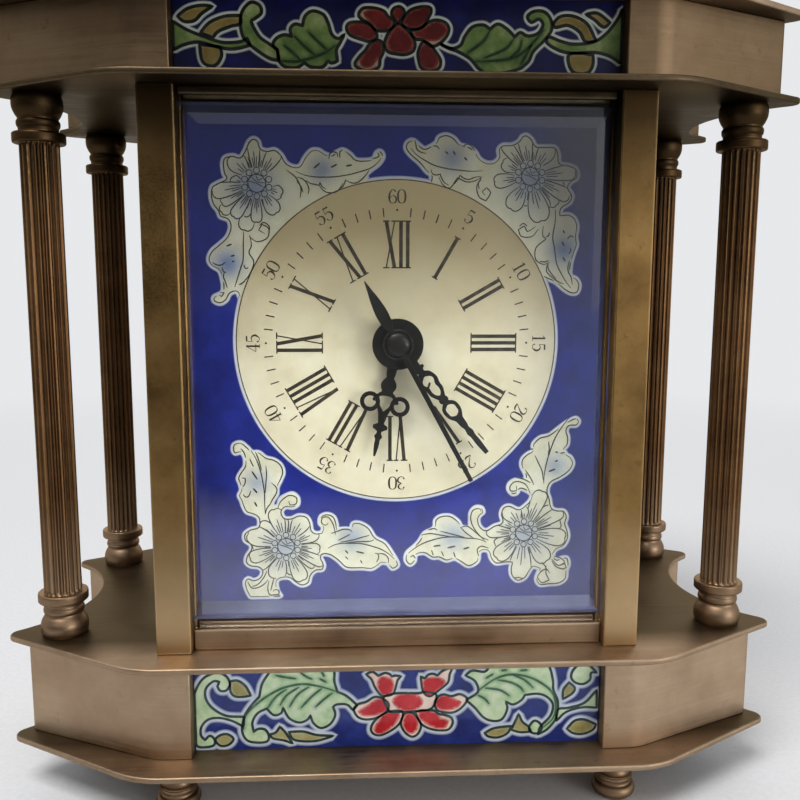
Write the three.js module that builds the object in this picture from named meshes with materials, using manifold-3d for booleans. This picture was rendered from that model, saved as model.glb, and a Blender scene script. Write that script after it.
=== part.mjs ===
// Table clock with enamel panels: a glazed case between two shaped tiers, four fluted columns,
// a mechanical movement with sweep seconds, and a folding carrying handle.
// Millimetres, +Z up, front towards -Y, origin on the table under the middle of the clock.
import * as THREE from "three";
import { mergeVertices } from "three/addons/utils/BufferGeometryUtils.js";
import { ConvexGeometry } from "three/addons/geometries/ConvexGeometry.js";
import Module from "manifold-3d";

const wasm = await Module();
wasm.setup();

// Fits
const SLIDE_GAP = 0.2; // between a seated edge and the groove or post beside it
const BORE_GAP = 0.15; // radial play of a pivot, stud or hub in its hole
const WELD = 1e-3;
const OVERRUN = 1; // how far a cutter runs past the face it opens
const ROOT = 0.5; // how far a joined boss sinks into its plate

// Shaped plates of both tiers
const PLATE_THICKNESS = 1.2;
const PLATE = { front: 41.5, cornerX: 51, cornerRadius: 18, earX: 77.8, earY: 22.9, earRadius: 2.2, waist: 69 };

// Bent side walls of both tiers and the recessed panels between them
const WALL_THICKNESS = 1.2;
const WALL = { front: 35, cornerX: 48.5, cornerRadius: 10, earX: 75.3, earY: 20.6, earRadius: 1.8, waist: 65.5 };
const PANEL_HALF_WIDTH = 41.3;
const PANEL_RECESS = 3.4;
const PANEL_THICKNESS = 1.5;
const BASE_WALL_HEIGHT = 20.7;
const TOP_WALL_HEIGHT = 15;

// Feet
const FOOT_HEIGHT = 10.5;
const FOOT_SOLE_RADIUS = 3.2;
const FOOT_BUN_RADIUS = 4.4;
const FOOT_BUN_SIDE = 0.9; // height where the bun's side stands upright
const FOOT_BUN_SHOULDER = 1.9;
const FOOT_BUN_TOP = 2.9;
const FOOT_NECK_RADIUS = 3.35;
const FOOT_NECK_TOP = 3.7;
const FOOT_RING_RADIUS = 3.75;
const FOOT_RING_TOP = 5.1;
const FOOT_RING_ROUND = 0.3;
const FOOT_WAIST_RADIUS = 2.9;
const FOOT_COLLAR_RADIUS = 3.7;
const FOOT_COLLAR_BOTTOM = 8.6;
const FOOT_OUTSET = 3.7; // from the end of the panel to the foot's axis
const FOOT_Y = 31;
const FOOT_STUD_RADIUS = 1.5;
const FOOT_STUD_LENGTH = 3;

// Columns
const COLUMN_HEIGHT = 107.3;
const COLUMN_X = 69;
const COLUMN_Y = 22.6;
const SHAFT_RADIUS = 3.68;
const FLUTES = 20;
const FLUTE_DEPTH = 0.42;
const COLUMN_END = 9; // height of the turned base, and of the capital
const COLUMN_SOCKET_RADIUS = 4.3; // where the bulb meets the plate
const COLUMN_BULB_RADIUS = 4.7;
const COLUMN_BULB_MIDDLE = 1.6;
const COLUMN_BULB_SHOULDER = 3.3;
const COLUMN_NECK_BOTTOM = 4.4;
const COLUMN_NECK_RADIUS = 3.78;
const COLUMN_RING_RADIUS = 4.9;
const COLUMN_RING_BOTTOM = 7.1;
const COLUMN_RING_ROUND = 0.2;
const TENON_RADIUS = 1.6;

// Case: corner posts, floor, ceiling, glasses
const POST_WIDTH = 6.8;
const POST_DEPTH = 8.8;
const FLOOR_THICKNESS = 4.2;
const CEILING_THICKNESS = 1.5;
const RAIL_SETBACK = 2; // floor and ceiling edges behind the post faces
const GLASS_THICKNESS = 3;
const GLASS_SETBACK = 3.7;
const GLASS_BEVEL = 3.4;
const GLASS_BEVEL_DEPTH = 0.6;
const SIDE_GLASS_THICKNESS = 2.8;
const SIDE_GLASS_SETBACK = 1.2;
const GROOVE_DEPTH = 2;
const FLOOR_GROOVE_DEPTH = 1.2;
const CEILING_GROOVE_DEPTH = 0.7;

// Rear door
const DOOR_THICKNESS = 4;
const DOOR_BACK_SETBACK = 1.7; // outer face of the door in front of the rear post faces
const DOOR_GAP = 0.4;
const DOOR_STILE = 6;
const DOOR_GLASS_THICKNESS = 2;
const DOOR_GLASS_LAP = 2;
const HINGE_PIN_RADIUS = 1;
const HINGE_PIN_REACH = 6; // into the door
const KNOB_RADIUS = 2.6;
const KNOB_NECK_RADIUS = 1.4;
const KNOB_NECK_LENGTH = 1.6;
const KNOB_EDGE = 1.2; // straight stretch of the grip
const KNOB_FACE_RADIUS = 1.7;
const KNOB_LENGTH = 5.2;
const KNOB_HEIGHT = 55; // above the upper base plate

// Handle
const HANDLE_PIVOT_X = 30;
const HANDLE_PIVOT_HEIGHT = 6;
const HANDLE_RISE = 27; // pivot to the middle of the grip
const HANDLE_GRIP_HALF = 15;
const HANDLE_BAR_RADIUS = 1.9;
const HANDLE_EYE_RADIUS = 3;
const HANDLE_EYE_WIDTH = 4.4;
const HANDLE_PIN_RADIUS = 1.3;
const EAR_WIDTH = 3.4;
const EAR_RADIUS = 3.2;
const EAR_FOOT_RADIUS = 4.6;
const EAR_FOOT_HEIGHT = 1.6;

// Dial and hands
const DIAL_CENTRE_RISE = 6.15; // above the middle of the columns
const DIAL_HALF_WIDTH = 42;
const DIAL_SIDE_GAP = 1.5; // from the dial's edge to the side glass
const DIAL_FRONT = -20;
const DIAL_THICKNESS = 1.2;
const DIAL_EDGE_GAP = 0.5;
const DIAL_FOOT_RADIUS = 1.2;
const DIAL_FOOT_X = 26;
const DIAL_FOOT_UP = 26;
const DIAL_FOOT_DOWN = 34;
const HAND_THICKNESS = 0.6;
const HOUR_HAND_LIFT = 1.8; // front of the dial to the back of each hand
const MINUTE_HAND_LIFT = 3.7;
const SECONDS_HAND_LIFT = 5.6;
const HOUR_HAND_LENGTH = 23.6;
const MINUTE_HAND_LENGTH = 28.8;
const SECONDS_HAND_LENGTH = 31.5;
const SECONDS_TAIL_LENGTH = 14.2;
const HUB_DISC_RADIUS = 5.15;
const HUB_CAP_RADIUS = 3.1;
const TIME = { hours: 6, minutes: 23, seconds: 25.3 };

// Movement frame
const MOVEMENT_PLATE = 2;
const MOTION_WORK_DEPTH = 4.8; // from the back of the dial to the front plate
const PLATE_SPACING = 20;
const FRAME_HALF_WIDTH = 30;
const FRAME_TOP = 36; // above and below the dial centre
const FRAME_BOTTOM = 48;
const LEG_OUTER = 28;
const LEG_INNER = 19;
const PILLAR_RADIUS = 2.2;
const PILLAR_X = 25;
const PILLAR_UP = 32;
const PILLAR_DOWN = 43.5;

// Wheels: counts, centre distances and depths behind the front plate
const CENTRE_WHEEL_TEETH = 48;
const CENTRE_PINION_LEAVES = 10;
const THIRD_WHEEL_TEETH = 45;
const THIRD_PINION_LEAVES = 6;
const SECONDS_WHEEL_TEETH = 48;
const SECONDS_PINION_LEAVES = 6;
const ESCAPE_PINION_LEAVES = 6;
const ESCAPE_TEETH = 15;
const BARREL_TEETH = 60;
const CANNON_LEAVES = 8;
const MINUTE_WHEEL_TEETH = 24;
const MINUTE_PINION_LEAVES = 6;
const HOUR_WHEEL_TEETH = 24;
const SETTING_TEETH = 16;
const THIRD_DISTANCE = 17.5;
const ESCAPE_DISTANCE = 17.6;
const BARREL_DISTANCE = 24.5;
const MOTION_DISTANCE = 12;
const THIRD_ANGLE = 52; // degrees from +X towards +Z, seen from the front
const ESCAPE_ANGLE = 150;
const BARREL_ANGLE = 270;
const MOTION_ANGLE = -30;
const WHEEL_THICKNESS = 1.2;
const PINION_LENGTH = 2.4;
const RIM_WIDTH = 1.8;
const SPOKE_WIDTH = 1.6;
const SPOKES = 4;
const HUB_RADIUS = 3;
const ARBOR_RADIUS = 0.9;
const PIVOT_RADIUS = 0.6;
const SECONDS_ARBOR_RADIUS = 0.7;
const CENTRE_TUBE_BORE = 0.95;
const CENTRE_TUBE_RADIUS = 1.5;
const HOUR_PIPE_RADIUS = 2.4;
const STUD_RADIUS = 0.7;
const BARREL_WHEEL_DEPTH = 0.8;
const BARREL_WHEEL_THICKNESS = 1.8;
const DRUM_RADIUS = 18.5;
const DRUM_LENGTH = 6.2;
const CENTRE_WHEEL_DEPTH = 10;
const THIRD_WHEEL_DEPTH = 14;
const SECONDS_WHEEL_DEPTH = 17.2;
const WINDING_ARBOR_RADIUS = 2.2;
const WINDING_SQUARE = 3;
const WINDING_SQUARE_LENGTH = 8;
const KEY_SLEEVE_RADIUS = 3.2;
const KEY_SLEEVE_LENGTH = 10;
const KEY_LOBE_RADIUS = 4.6;
const KEY_LOBE_BORE = 2.2;
const KEY_THICKNESS = 1.8;
const SETTING_ARBOR_RADIUS = 0.9;
const SETTING_KNOB_RADIUS = 4;
const SETTING_KNOB_LENGTH = 6;
const SETTING_KNOB_STANDOFF = 3;

// Escapement and balance
const ESCAPE_RADIUS = 5;
const ESCAPE_WHEEL_DEPTH = 12.6;
const ESCAPE_WHEEL_THICKNESS = 0.8;
const LEVER_DISTANCE = 7.2;
const LEVER_ANGLE = 100;
const PALLET_CLEARANCE = 0.6;
const BALANCE_DISTANCE = 9.6;
const BALANCE_ANGLE = 80;
const BALANCE_RADIUS = 8;
const BALANCE_RIM = 1.1;
const BALANCE_DEPTH = 7.4;
const BALANCE_THICKNESS = 1.4;
const ROLLER_RADIUS = 2;
const FORK_CLEARANCE = 0.5;
const HAIRSPRING_DEPTH = 10.6;
const HAIRSPRING_INNER = 1.7;
const HAIRSPRING_PITCH = 0.85;
const HAIRSPRING_TURNS = 5;
const HAIRSPRING_WIRE = 0.3;
const HAIRSPRING_LEAST_GAP = 0.4;
const HAIRSPRING_STUD = 1;

// Tooth proportions, in modules and in parts of a pitch
const WHEEL_ADDENDUM = 0.95;
const PINION_ADDENDUM = 0.75;
const DEDENDUM = 1.3;
const TOOTH_ROOT_HALF = 0.26;
const LEAF_ROOT_HALF = 0.22;
const LEAF_TIP_HALF = 0.09;

// Roundness
const TURNED_SIDES = 16;
const SMALL_SIDES = 12;
const HOLE_SIDES = 8;
const BAIL_STEPS = 24;
const DRUM_SIDES = 28;

const TURN = 2 * Math.PI;
const radians = THREE.MathUtils.degToRad;
const flat = (x, y) => new THREE.Vector2(x, y);
const polar = (radius, angle) => flat(radius * Math.cos(angle), radius * Math.sin(angle));

// Materials
const metal = (color, roughness) => new THREE.MeshStandardMaterial({ color, roughness, metalness: 1 });
const bronze = metal(0x8a6a48, 0.42);
const darkBronze = metal(0x5e4632, 0.4);
const brass = metal(0xb08d4f, 0.35);
const steel = metal(0x8d8f93, 0.3);
const blackMetal = new THREE.MeshStandardMaterial({ color: 0x17120f, roughness: 0.35, metalness: 0.3 });
const blueEnamel = new THREE.MeshStandardMaterial({ color: 0x1d2c8c, roughness: 0.15, metalness: 0 });
const glass = new THREE.MeshStandardMaterial({
  color: 0xeaf2f0,
  roughness: 0.05,
  metalness: 0,
  transparent: true,
  opacity: 0.2,
});

// Solids: welding, joining and cutting closed meshes
function toSolid(geometry) {
  const bare = new THREE.BufferGeometry();
  bare.setAttribute("position", geometry.getAttribute("position"));
  bare.setIndex(geometry.index);
  const welded = mergeVertices(bare, WELD);
  const corners = [];
  for (let i = 0; i < welded.index.count; i += 3) {
    const triangle = [0, 1, 2].map((k) => welded.index.getX(i + k));
    if (new Set(triangle).size === 3) corners.push(...triangle);
  }
  const vertProperties = welded.getAttribute("position").array;
  return new wasm.Manifold(new wasm.Mesh({ numProp: 3, vertProperties, triVerts: new Uint32Array(corners) }));
}

function toGeometry(solid) {
  const mesh = solid.getMesh();
  const geometry = new THREE.BufferGeometry();
  geometry.setAttribute("position", new THREE.BufferAttribute(mesh.vertProperties, 3));
  geometry.setIndex(new THREE.BufferAttribute(mesh.triVerts, 1));
  geometry.computeVertexNormals();
  return geometry;
}

const join = (...pieces) => toGeometry(pieces.map(toSolid).reduce((all, next) => all.add(next)));
const cut = (body, ...tools) =>
  toGeometry(tools.map(toSolid).reduce((rest, tool) => rest.subtract(tool), toSolid(body)));

// A flat outline raised from one height to another
function raised(shape, bottom, top) {
  const geometry = new THREE.ExtrudeGeometry(shape, { depth: top - bottom, bevelEnabled: false, curveSegments: 6 });
  return geometry.translate(0, 0, bottom);
}

// An outline drawn as seen from the front, given depth from one Y to another
function facing(shape, front, back) {
  const geometry = new THREE.ExtrudeGeometry(shape, { depth: back - front, bevelEnabled: false, curveSegments: 6 });
  return geometry.rotateX(Math.PI / 2).translate(0, back, 0);
}

// A profile of [radius, height] pairs turned about Z, or about Y for arbors
function turnedUpright(profile, sides) {
  return turnedAlongY(profile, sides).rotateX(Math.PI / 2);
}

function turnedAlongY(profile, sides) {
  return new THREE.LatheGeometry(
    profile.map(([radius, along]) => flat(radius, along)),
    sides,
  );
}

const rodAlongY = (radius, front, back, sides = SMALL_SIDES) =>
  turnedAlongY([[0, front], [radius, front], [radius, back], [0, back]], sides);
const rodUpright = (radius, bottom, top, sides = SMALL_SIDES) =>
  turnedUpright([[0, bottom], [radius, bottom], [radius, top], [0, top]], sides);
const rodAlongX = (radius, from, to, sides = SMALL_SIDES) =>
  rodUpright(radius, from, to, sides).rotateY(Math.PI / 2);

function block(x0, x1, y0, y1, z0, z1) {
  const geometry = new THREE.BoxGeometry(x1 - x0, y1 - y0, z1 - z0);
  return geometry.translate((x0 + x1) / 2, (y0 + y1) / 2, (z0 + z1) / 2);
}

const rectangle = (x0, x1, y0, y1) => new THREE.Shape([flat(x0, y0), flat(x1, y0), flat(x1, y1), flat(x0, y1)]);

function circleHole(x, y, radius, sides = SMALL_SIDES) {
  const hole = new THREE.Path();
  hole.setFromPoints(arcPoints(flat(x, y), radius, 0, TURN, sides).slice(0, sides));
  return hole;
}

function ringShape(x, y, outer, inner) {
  const ring = new THREE.Shape(arcPoints(flat(x, y), outer, 0, TURN, 14).slice(0, 14));
  ring.holes.push(circleHole(x, y, inner, 10));
  return ring;
}

function arcPoints(centre, radius, from, to, steps) {
  const points = [];
  for (let i = 0; i <= steps; i++) {
    points.push(polar(radius, from + ((to - from) * i) / steps).add(centre));
  }
  return points;
}

const clock = new THREE.Group();
function place(name, geometry, material, parent = clock) {
  const mesh = new THREE.Mesh(geometry, material);
  mesh.name = name;
  parent.add(mesh);
  return mesh;
}

// Heights
const basePlateTop = FOOT_HEIGHT + PLATE_THICKNESS;
const baseWallTop = basePlateTop + BASE_WALL_HEIGHT;
const deck = baseWallTop + PLATE_THICKNESS; // columns and case stand here
const canopy = deck + COLUMN_HEIGHT; // and end here
const topPlateTop = canopy + PLATE_THICKNESS;
const topWallTop = topPlateTop + TOP_WALL_HEIGHT;
const roof = topWallTop + PLATE_THICKNESS;
const floorTop = deck + FLOOR_THICKNESS;
const ceilingUnderside = canopy - CEILING_THICKNESS;
const dialHeight = deck + COLUMN_HEIGHT / 2 + DIAL_CENTRE_RISE;

// One quarter of a tier outline from the middle of the front edge's end to the middle of the waist:
// a rounded corner, a straight sweep to a rounded ear, and a hollow side tangent to the ear.
function tierLine(o) {
  const toEarX = o.earX - o.cornerX;
  const toEarY = o.earY - o.front;
  const reach = Math.hypot(toEarX, toEarY);
  const sweep = Math.atan2(toEarY, toEarX) + Math.asin(o.earRadius / reach);
  const shoulder = o.earX - o.waist;
  const hollowRadius = (shoulder ** 2 + o.earY ** 2 - o.earRadius ** 2) / (2 * (o.earRadius + shoulder));
  return { sweep, hollowRadius };
}

function tierQuarter(o) {
  const { sweep, hollowRadius } = tierLine(o);
  const square = Math.PI / 2;
  const tangent = o.cornerRadius * Math.tan(-sweep / 2);
  const cornerCentre = flat(o.cornerX - tangent, o.front - o.cornerRadius);
  const hollowCentre = flat(o.waist + hollowRadius, 0);
  const meeting = Math.atan2(-o.earY, hollowCentre.x - o.earX);
  return [
    ...arcPoints(cornerCentre, o.cornerRadius, square, square + sweep, 4),
    ...arcPoints(flat(o.earX, o.earY), o.earRadius, square + sweep, meeting, 5),
    ...arcPoints(hollowCentre, hollowRadius, meeting + Math.PI, Math.PI, 5).slice(1),
  ];
}

// The same outline drawn in by a sheet's thickness
function tierInset(o, by) {
  const { sweep } = tierLine(o);
  return {
    front: o.front - by,
    cornerX: o.cornerX - by * Math.tan(-sweep / 2),
    cornerRadius: o.cornerRadius - by,
    earX: o.earX,
    earY: o.earY,
    earRadius: o.earRadius - by,
    waist: o.waist - by,
  };
}

// Right half of the outline, from the rear round the ears to the front
function tierHalf(o) {
  const quarter = tierQuarter(o);
  const front = quarter.slice(0, -1).map((p) => flat(p.x, -p.y));
  return [...quarter, ...front.reverse()];
}

function tierPlate(bottom, holes) {
  const right = tierHalf(PLATE);
  const left = right.map((p) => flat(-p.x, -p.y));
  const shape = new THREE.Shape([...right, ...left]);
  shape.holes.push(...holes);
  return raised(shape, bottom, bottom + PLATE_THICKNESS);
}

// Right-hand wall: a bent strip with its ends turned in beside the panels
function tierWall(bottom, height) {
  const outer = tierHalf(WALL);
  const inner = tierHalf(tierInset(WALL, WALL_THICKNESS));
  const lipEnd = WALL.front - PANEL_RECESS - PANEL_THICKNESS;
  const lipInside = PANEL_HALF_WIDTH + WALL_THICKNESS;
  const faceInside = WALL.front - WALL_THICKNESS;
  const shape = new THREE.Shape([
    flat(PANEL_HALF_WIDTH, WALL.front),
    ...outer,
    flat(PANEL_HALF_WIDTH, -WALL.front),
    flat(PANEL_HALF_WIDTH, -lipEnd),
    flat(lipInside, -lipEnd),
    flat(lipInside, -faceInside),
    ...inner.reverse(),
    flat(lipInside, faceInside),
    flat(lipInside, lipEnd),
    flat(PANEL_HALF_WIDTH, lipEnd),
  ]);
  return raised(shape, bottom, bottom + height);
}

const FOUR_CORNERS = [
  { name: "front_left", x: -1, y: -1 },
  { name: "front_right", x: 1, y: -1 },
  { name: "rear_left", x: -1, y: 1 },
  { name: "rear_right", x: 1, y: 1 },
];
const cornerHoles = (x, y, radius) => FOUR_CORNERS.map((c) => circleHole(c.x * x, c.y * y, radius));

function addTier(tier, bottom, height) {
  place(`${tier}_side_right`, tierWall(bottom, height), bronze);
  place(`${tier}_side_left`, tierWall(bottom, height), bronze).rotation.z = Math.PI;
  const half = PANEL_HALF_WIDTH - SLIDE_GAP;
  const back = -WALL.front + PANEL_RECESS + PANEL_THICKNESS;
  const panel = () => block(-half, half, back - PANEL_THICKNESS, back, bottom, bottom + height);
  place(`${tier}_enamel_panel`, panel(), blueEnamel);
  place(`${tier}_rear_panel`, panel(), bronze).rotation.z = Math.PI;
}

// Base
const footX = PANEL_HALF_WIDTH + FOOT_OUTSET;
const studHoles = cornerHoles(footX, FOOT_Y, FOOT_STUD_RADIUS + BORE_GAP);
const tenonHoles = () => cornerHoles(COLUMN_X, COLUMN_Y, TENON_RADIUS + BORE_GAP);
const sideGlassInner = DIAL_HALF_WIDTH + DIAL_SIDE_GAP;
const sideGlassOuter = sideGlassInner + SIDE_GLASS_THICKNESS;
const postOuterX = sideGlassOuter + SIDE_GLASS_SETBACK;
const postInnerX = postOuterX - POST_WIDTH;
const hingeX = postInnerX - DOOR_GAP - DOOR_THICKNESS / 2;
const doorBack = WALL.front - DOOR_BACK_SETBACK;
const hingeY = doorBack - DOOR_THICKNESS / 2;
const hingeHole = () => circleHole(hingeX, hingeY, HINGE_PIN_RADIUS + BORE_GAP);
place("base_lower_plate", tierPlate(FOOT_HEIGHT, studHoles), darkBronze);
addTier("base", basePlateTop, BASE_WALL_HEIGHT);
place("base_upper_plate", tierPlate(baseWallTop, [...tenonHoles(), hingeHole()]), darkBronze);

// Turned feet: a bun, a waist and two rings under the plate, with a stud through it
const footProfile = [
  [0, 0],
  [FOOT_SOLE_RADIUS, 0],
  [FOOT_BUN_RADIUS - FOOT_RING_ROUND, FOOT_BUN_SIDE],
  [FOOT_BUN_RADIUS, FOOT_BUN_SHOULDER],
  [FOOT_NECK_RADIUS, FOOT_BUN_TOP],
  [FOOT_NECK_RADIUS, FOOT_NECK_TOP],
  [FOOT_RING_RADIUS, FOOT_NECK_TOP + FOOT_RING_ROUND],
  [FOOT_RING_RADIUS, FOOT_RING_TOP - FOOT_RING_ROUND],
  [FOOT_NECK_RADIUS, FOOT_RING_TOP],
  [FOOT_WAIST_RADIUS, (FOOT_RING_TOP + FOOT_COLLAR_BOTTOM) / 2],
  [FOOT_COLLAR_RADIUS, FOOT_COLLAR_BOTTOM],
  [FOOT_COLLAR_RADIUS, FOOT_HEIGHT],
  [FOOT_STUD_RADIUS, FOOT_HEIGHT],
  [FOOT_STUD_RADIUS, FOOT_HEIGHT + FOOT_STUD_LENGTH],
  [0, FOOT_HEIGHT + FOOT_STUD_LENGTH],
];
for (const corner of FOUR_CORNERS) {
  const foot = place(`foot_${corner.name}`, turnedUpright(footProfile, SMALL_SIDES), bronze);
  foot.position.set(corner.x * footX, corner.y * FOOT_Y, 0);
}

// Columns: fluted shaft with a bulb, a neck and a ring at each end, tenoned into both plates
function flutedShaft(bottom, top) {
  const points = [];
  for (let i = 0; i < FLUTES; i++) {
    const pitch = TURN / FLUTES;
    points.push(polar(SHAFT_RADIUS, (i - 0.25) * pitch));
    points.push(polar(SHAFT_RADIUS, (i + 0.25) * pitch));
    points.push(polar(SHAFT_RADIUS - FLUTE_DEPTH, (i + 0.5) * pitch));
  }
  return raised(new THREE.Shape(points), bottom, top);
}

const columnEnd = [
  [0, -PLATE_THICKNESS],
  [TENON_RADIUS, -PLATE_THICKNESS],
  [TENON_RADIUS, 0],
  [COLUMN_SOCKET_RADIUS, 0],
  [COLUMN_BULB_RADIUS, COLUMN_BULB_MIDDLE],
  [COLUMN_BULB_RADIUS - COLUMN_RING_ROUND, COLUMN_BULB_SHOULDER],
  [COLUMN_NECK_RADIUS, COLUMN_NECK_BOTTOM],
  [COLUMN_NECK_RADIUS, COLUMN_RING_BOTTOM],
  [COLUMN_RING_RADIUS, COLUMN_RING_BOTTOM + COLUMN_RING_ROUND],
  [COLUMN_RING_RADIUS, COLUMN_END - COLUMN_RING_ROUND],
  [COLUMN_NECK_RADIUS, COLUMN_END],
  [0, COLUMN_END],
];
const columnBase = turnedUpright(columnEnd, TURNED_SIDES);
const columnCapital = columnBase.clone().rotateX(Math.PI).translate(0, 0, COLUMN_HEIGHT);
const shaftRun = flutedShaft(COLUMN_END - ROOT, COLUMN_HEIGHT - COLUMN_END + ROOT);
const columnSolid = join(columnBase, shaftRun, columnCapital);
for (const corner of FOUR_CORNERS) {
  const column = place(`column_${corner.name}`, columnSolid.clone(), bronze);
  column.position.set(corner.x * COLUMN_X, corner.y * COLUMN_Y, deck);
}

// Corner posts with grooves for the glasses
const postBack = WALL.front - POST_DEPTH;
const glassFront = WALL.front - GLASS_SETBACK;
const glassBack = glassFront - GLASS_THICKNESS;

function postSection(glazedFront) {
  const frontGroove = [
    flat(postInnerX, glassBack - SLIDE_GAP),
    flat(postInnerX + GROOVE_DEPTH, glassBack - SLIDE_GAP),
    flat(postInnerX + GROOVE_DEPTH, glassFront + SLIDE_GAP),
    flat(postInnerX, glassFront + SLIDE_GAP),
  ];
  return new THREE.Shape([
    flat(postOuterX, postBack),
    flat(postOuterX, WALL.front),
    flat(postInnerX, WALL.front),
    ...(glazedFront ? frontGroove.reverse() : []),
    flat(postInnerX, postBack),
    flat(sideGlassInner - SLIDE_GAP, postBack),
    flat(sideGlassInner - SLIDE_GAP, postBack + GROOVE_DEPTH),
    flat(sideGlassOuter + SLIDE_GAP, postBack + GROOVE_DEPTH),
    flat(sideGlassOuter + SLIDE_GAP, postBack),
  ]);
}

// The section is drawn for the rear right post. A post on another corner is that section
// mirrored, with its corners in reverse order when one mirror is used.
for (const corner of FOUR_CORNERS) {
  const drawn = postSection(corner.y < 0).getPoints();
  const mirrored = drawn.map((p) => flat(p.x * corner.x, p.y * corner.y));
  if (corner.x * corner.y < 0) mirrored.reverse();
  place(`post_${corner.name}`, raised(new THREE.Shape(mirrored), deck, canopy), bronze);
}

// Floor and ceiling fill the space between the posts and hold the glasses in grooves
function caseSlab(bottom, top, grooveFrom, grooveTo) {
  const between = postInnerX - SLIDE_GAP;
  const frontEdge = -WALL.front + RAIL_SETBACK;
  const rearEdge = hingeY - DOOR_THICKNESS / 2 - DOOR_GAP;
  const sideEnd = postBack - SLIDE_GAP;
  const crossed = join(
    raised(rectangle(-between, between, frontEdge, rearEdge), bottom, top),
    raised(rectangle(-postOuterX, postOuterX, -sideEnd, sideEnd), bottom, top),
  );
  const frontGroove = block(
    -between - OVERRUN, between + OVERRUN,
    -glassFront - SLIDE_GAP, -glassBack + SLIDE_GAP,
    grooveFrom, grooveTo,
  );
  const sideGroove = (side) => {
    const edges = [side * (sideGlassInner - SLIDE_GAP), side * (sideGlassOuter + SLIDE_GAP)].sort((a, b) => a - b);
    return block(edges[0], edges[1], -sideEnd - OVERRUN, sideEnd + OVERRUN, grooveFrom, grooveTo);
  };
  return cut(crossed, frontGroove, sideGroove(1), sideGroove(-1));
}
place("case_floor", caseSlab(deck, floorTop, floorTop - FLOOR_GROOVE_DEPTH, floorTop + OVERRUN), bronze);
place(
  "case_ceiling",
  caseSlab(ceilingUnderside, canopy, ceilingUnderside - OVERRUN, ceilingUnderside + CEILING_GROOVE_DEPTH),
  bronze,
);

// A glass pane lying in XZ with a bevelled rim on its outer face, drawn round its own middle
function bevelledPane(halfWidth, bottom, top, thickness, bevel, bevelDepth) {
  const corners = (inset, y) =>
    [-1, 1].flatMap((side) =>
      [bottom + inset, top - inset].map((z) => new THREE.Vector3(side * (halfWidth - inset), y, z)),
    );
  const points = [...corners(0, thickness), ...corners(0, bevelDepth), ...corners(bevel, 0)];
  return new ConvexGeometry(points);
}

const glassBottom = floorTop - FLOOR_GROOVE_DEPTH + SLIDE_GAP;
const glassTop = ceilingUnderside + CEILING_GROOVE_DEPTH - SLIDE_GAP;
const frontPaneHalf = postInnerX + GROOVE_DEPTH - SLIDE_GAP;
const sidePaneHalf = postBack + GROOVE_DEPTH - SLIDE_GAP;
const frontPane = bevelledPane(
  frontPaneHalf, glassBottom, glassTop, GLASS_THICKNESS, GLASS_BEVEL + GROOVE_DEPTH, GLASS_BEVEL_DEPTH,
);
place("front_glass", frontPane, glass).position.y = -glassFront;
for (const [name, side] of [["right", 1], ["left", -1]]) {
  const pane = bevelledPane(
    sidePaneHalf, glassBottom, glassTop, SIDE_GLASS_THICKNESS, GLASS_BEVEL + GROOVE_DEPTH, GLASS_BEVEL_DEPTH,
  );
  const mesh = place(`side_glass_${name}`, pane, glass);
  mesh.rotation.z = (side * Math.PI) / 2;
  mesh.position.x = side * sideGlassOuter;
}

// Rear door: a frame with a half-round hinge edge, a pane held from inside, two pivot pins and a knob
const doorFreeX = -(postInnerX - DOOR_GAP);
const doorFront = doorBack - DOOR_THICKNESS;
const doorBottom = deck + DOOR_GAP;
const doorTop = canopy - DOOR_GAP;
const paneX0 = doorFreeX + DOOR_STILE;
const paneX1 = hingeX - DOOR_STILE + DOOR_THICKNESS / 2;
const paneZ0 = doorBottom + DOOR_STILE;
const paneZ1 = doorTop - DOOR_STILE;
const rebateY = doorFront + DOOR_GLASS_THICKNESS + SLIDE_GAP;
const pinHole = (bottom, top) =>
  rodUpright(HINGE_PIN_RADIUS + BORE_GAP, bottom, top).translate(hingeX, hingeY, 0);
const doorFrame = cut(
  join(
    block(doorFreeX, hingeX, doorFront, doorBack, doorBottom, doorTop),
    rodUpright(DOOR_THICKNESS / 2, doorBottom, doorTop, SMALL_SIDES).translate(hingeX, hingeY, 0),
  ),
  block(paneX0, paneX1, doorFront - OVERRUN, doorBack + OVERRUN, paneZ0, paneZ1),
  block(
    paneX0 - DOOR_GLASS_LAP, paneX1 + DOOR_GLASS_LAP,
    doorFront - OVERRUN, rebateY,
    paneZ0 - DOOR_GLASS_LAP, paneZ1 + DOOR_GLASS_LAP,
  ),
  pinHole(doorBottom - OVERRUN, doorBottom + HINGE_PIN_REACH + SLIDE_GAP),
  pinHole(doorTop - HINGE_PIN_REACH - SLIDE_GAP, doorTop + OVERRUN),
);
place("door_frame", doorFrame, bronze);
const lap = DOOR_GLASS_LAP - SLIDE_GAP;
place(
  "door_glass",
  block(
    paneX0 - lap, paneX1 + lap,
    rebateY - SLIDE_GAP / 2 - DOOR_GLASS_THICKNESS, rebateY - SLIDE_GAP / 2,
    paneZ0 - lap, paneZ1 + lap,
  ),
  glass,
);
const lowerPin = rodUpright(HINGE_PIN_RADIUS, deck - PLATE_THICKNESS, doorBottom + HINGE_PIN_REACH);
place("door_pin_lower", lowerPin, brass).position.set(hingeX, hingeY, 0);
const upperPin = rodUpright(HINGE_PIN_RADIUS, doorTop - HINGE_PIN_REACH, canopy + PLATE_THICKNESS);
place("door_pin_upper", upperPin, brass).position.set(hingeX, hingeY, 0);
const knobGrip = (KNOB_LENGTH + KNOB_NECK_LENGTH - KNOB_EDGE) / 2;
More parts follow.
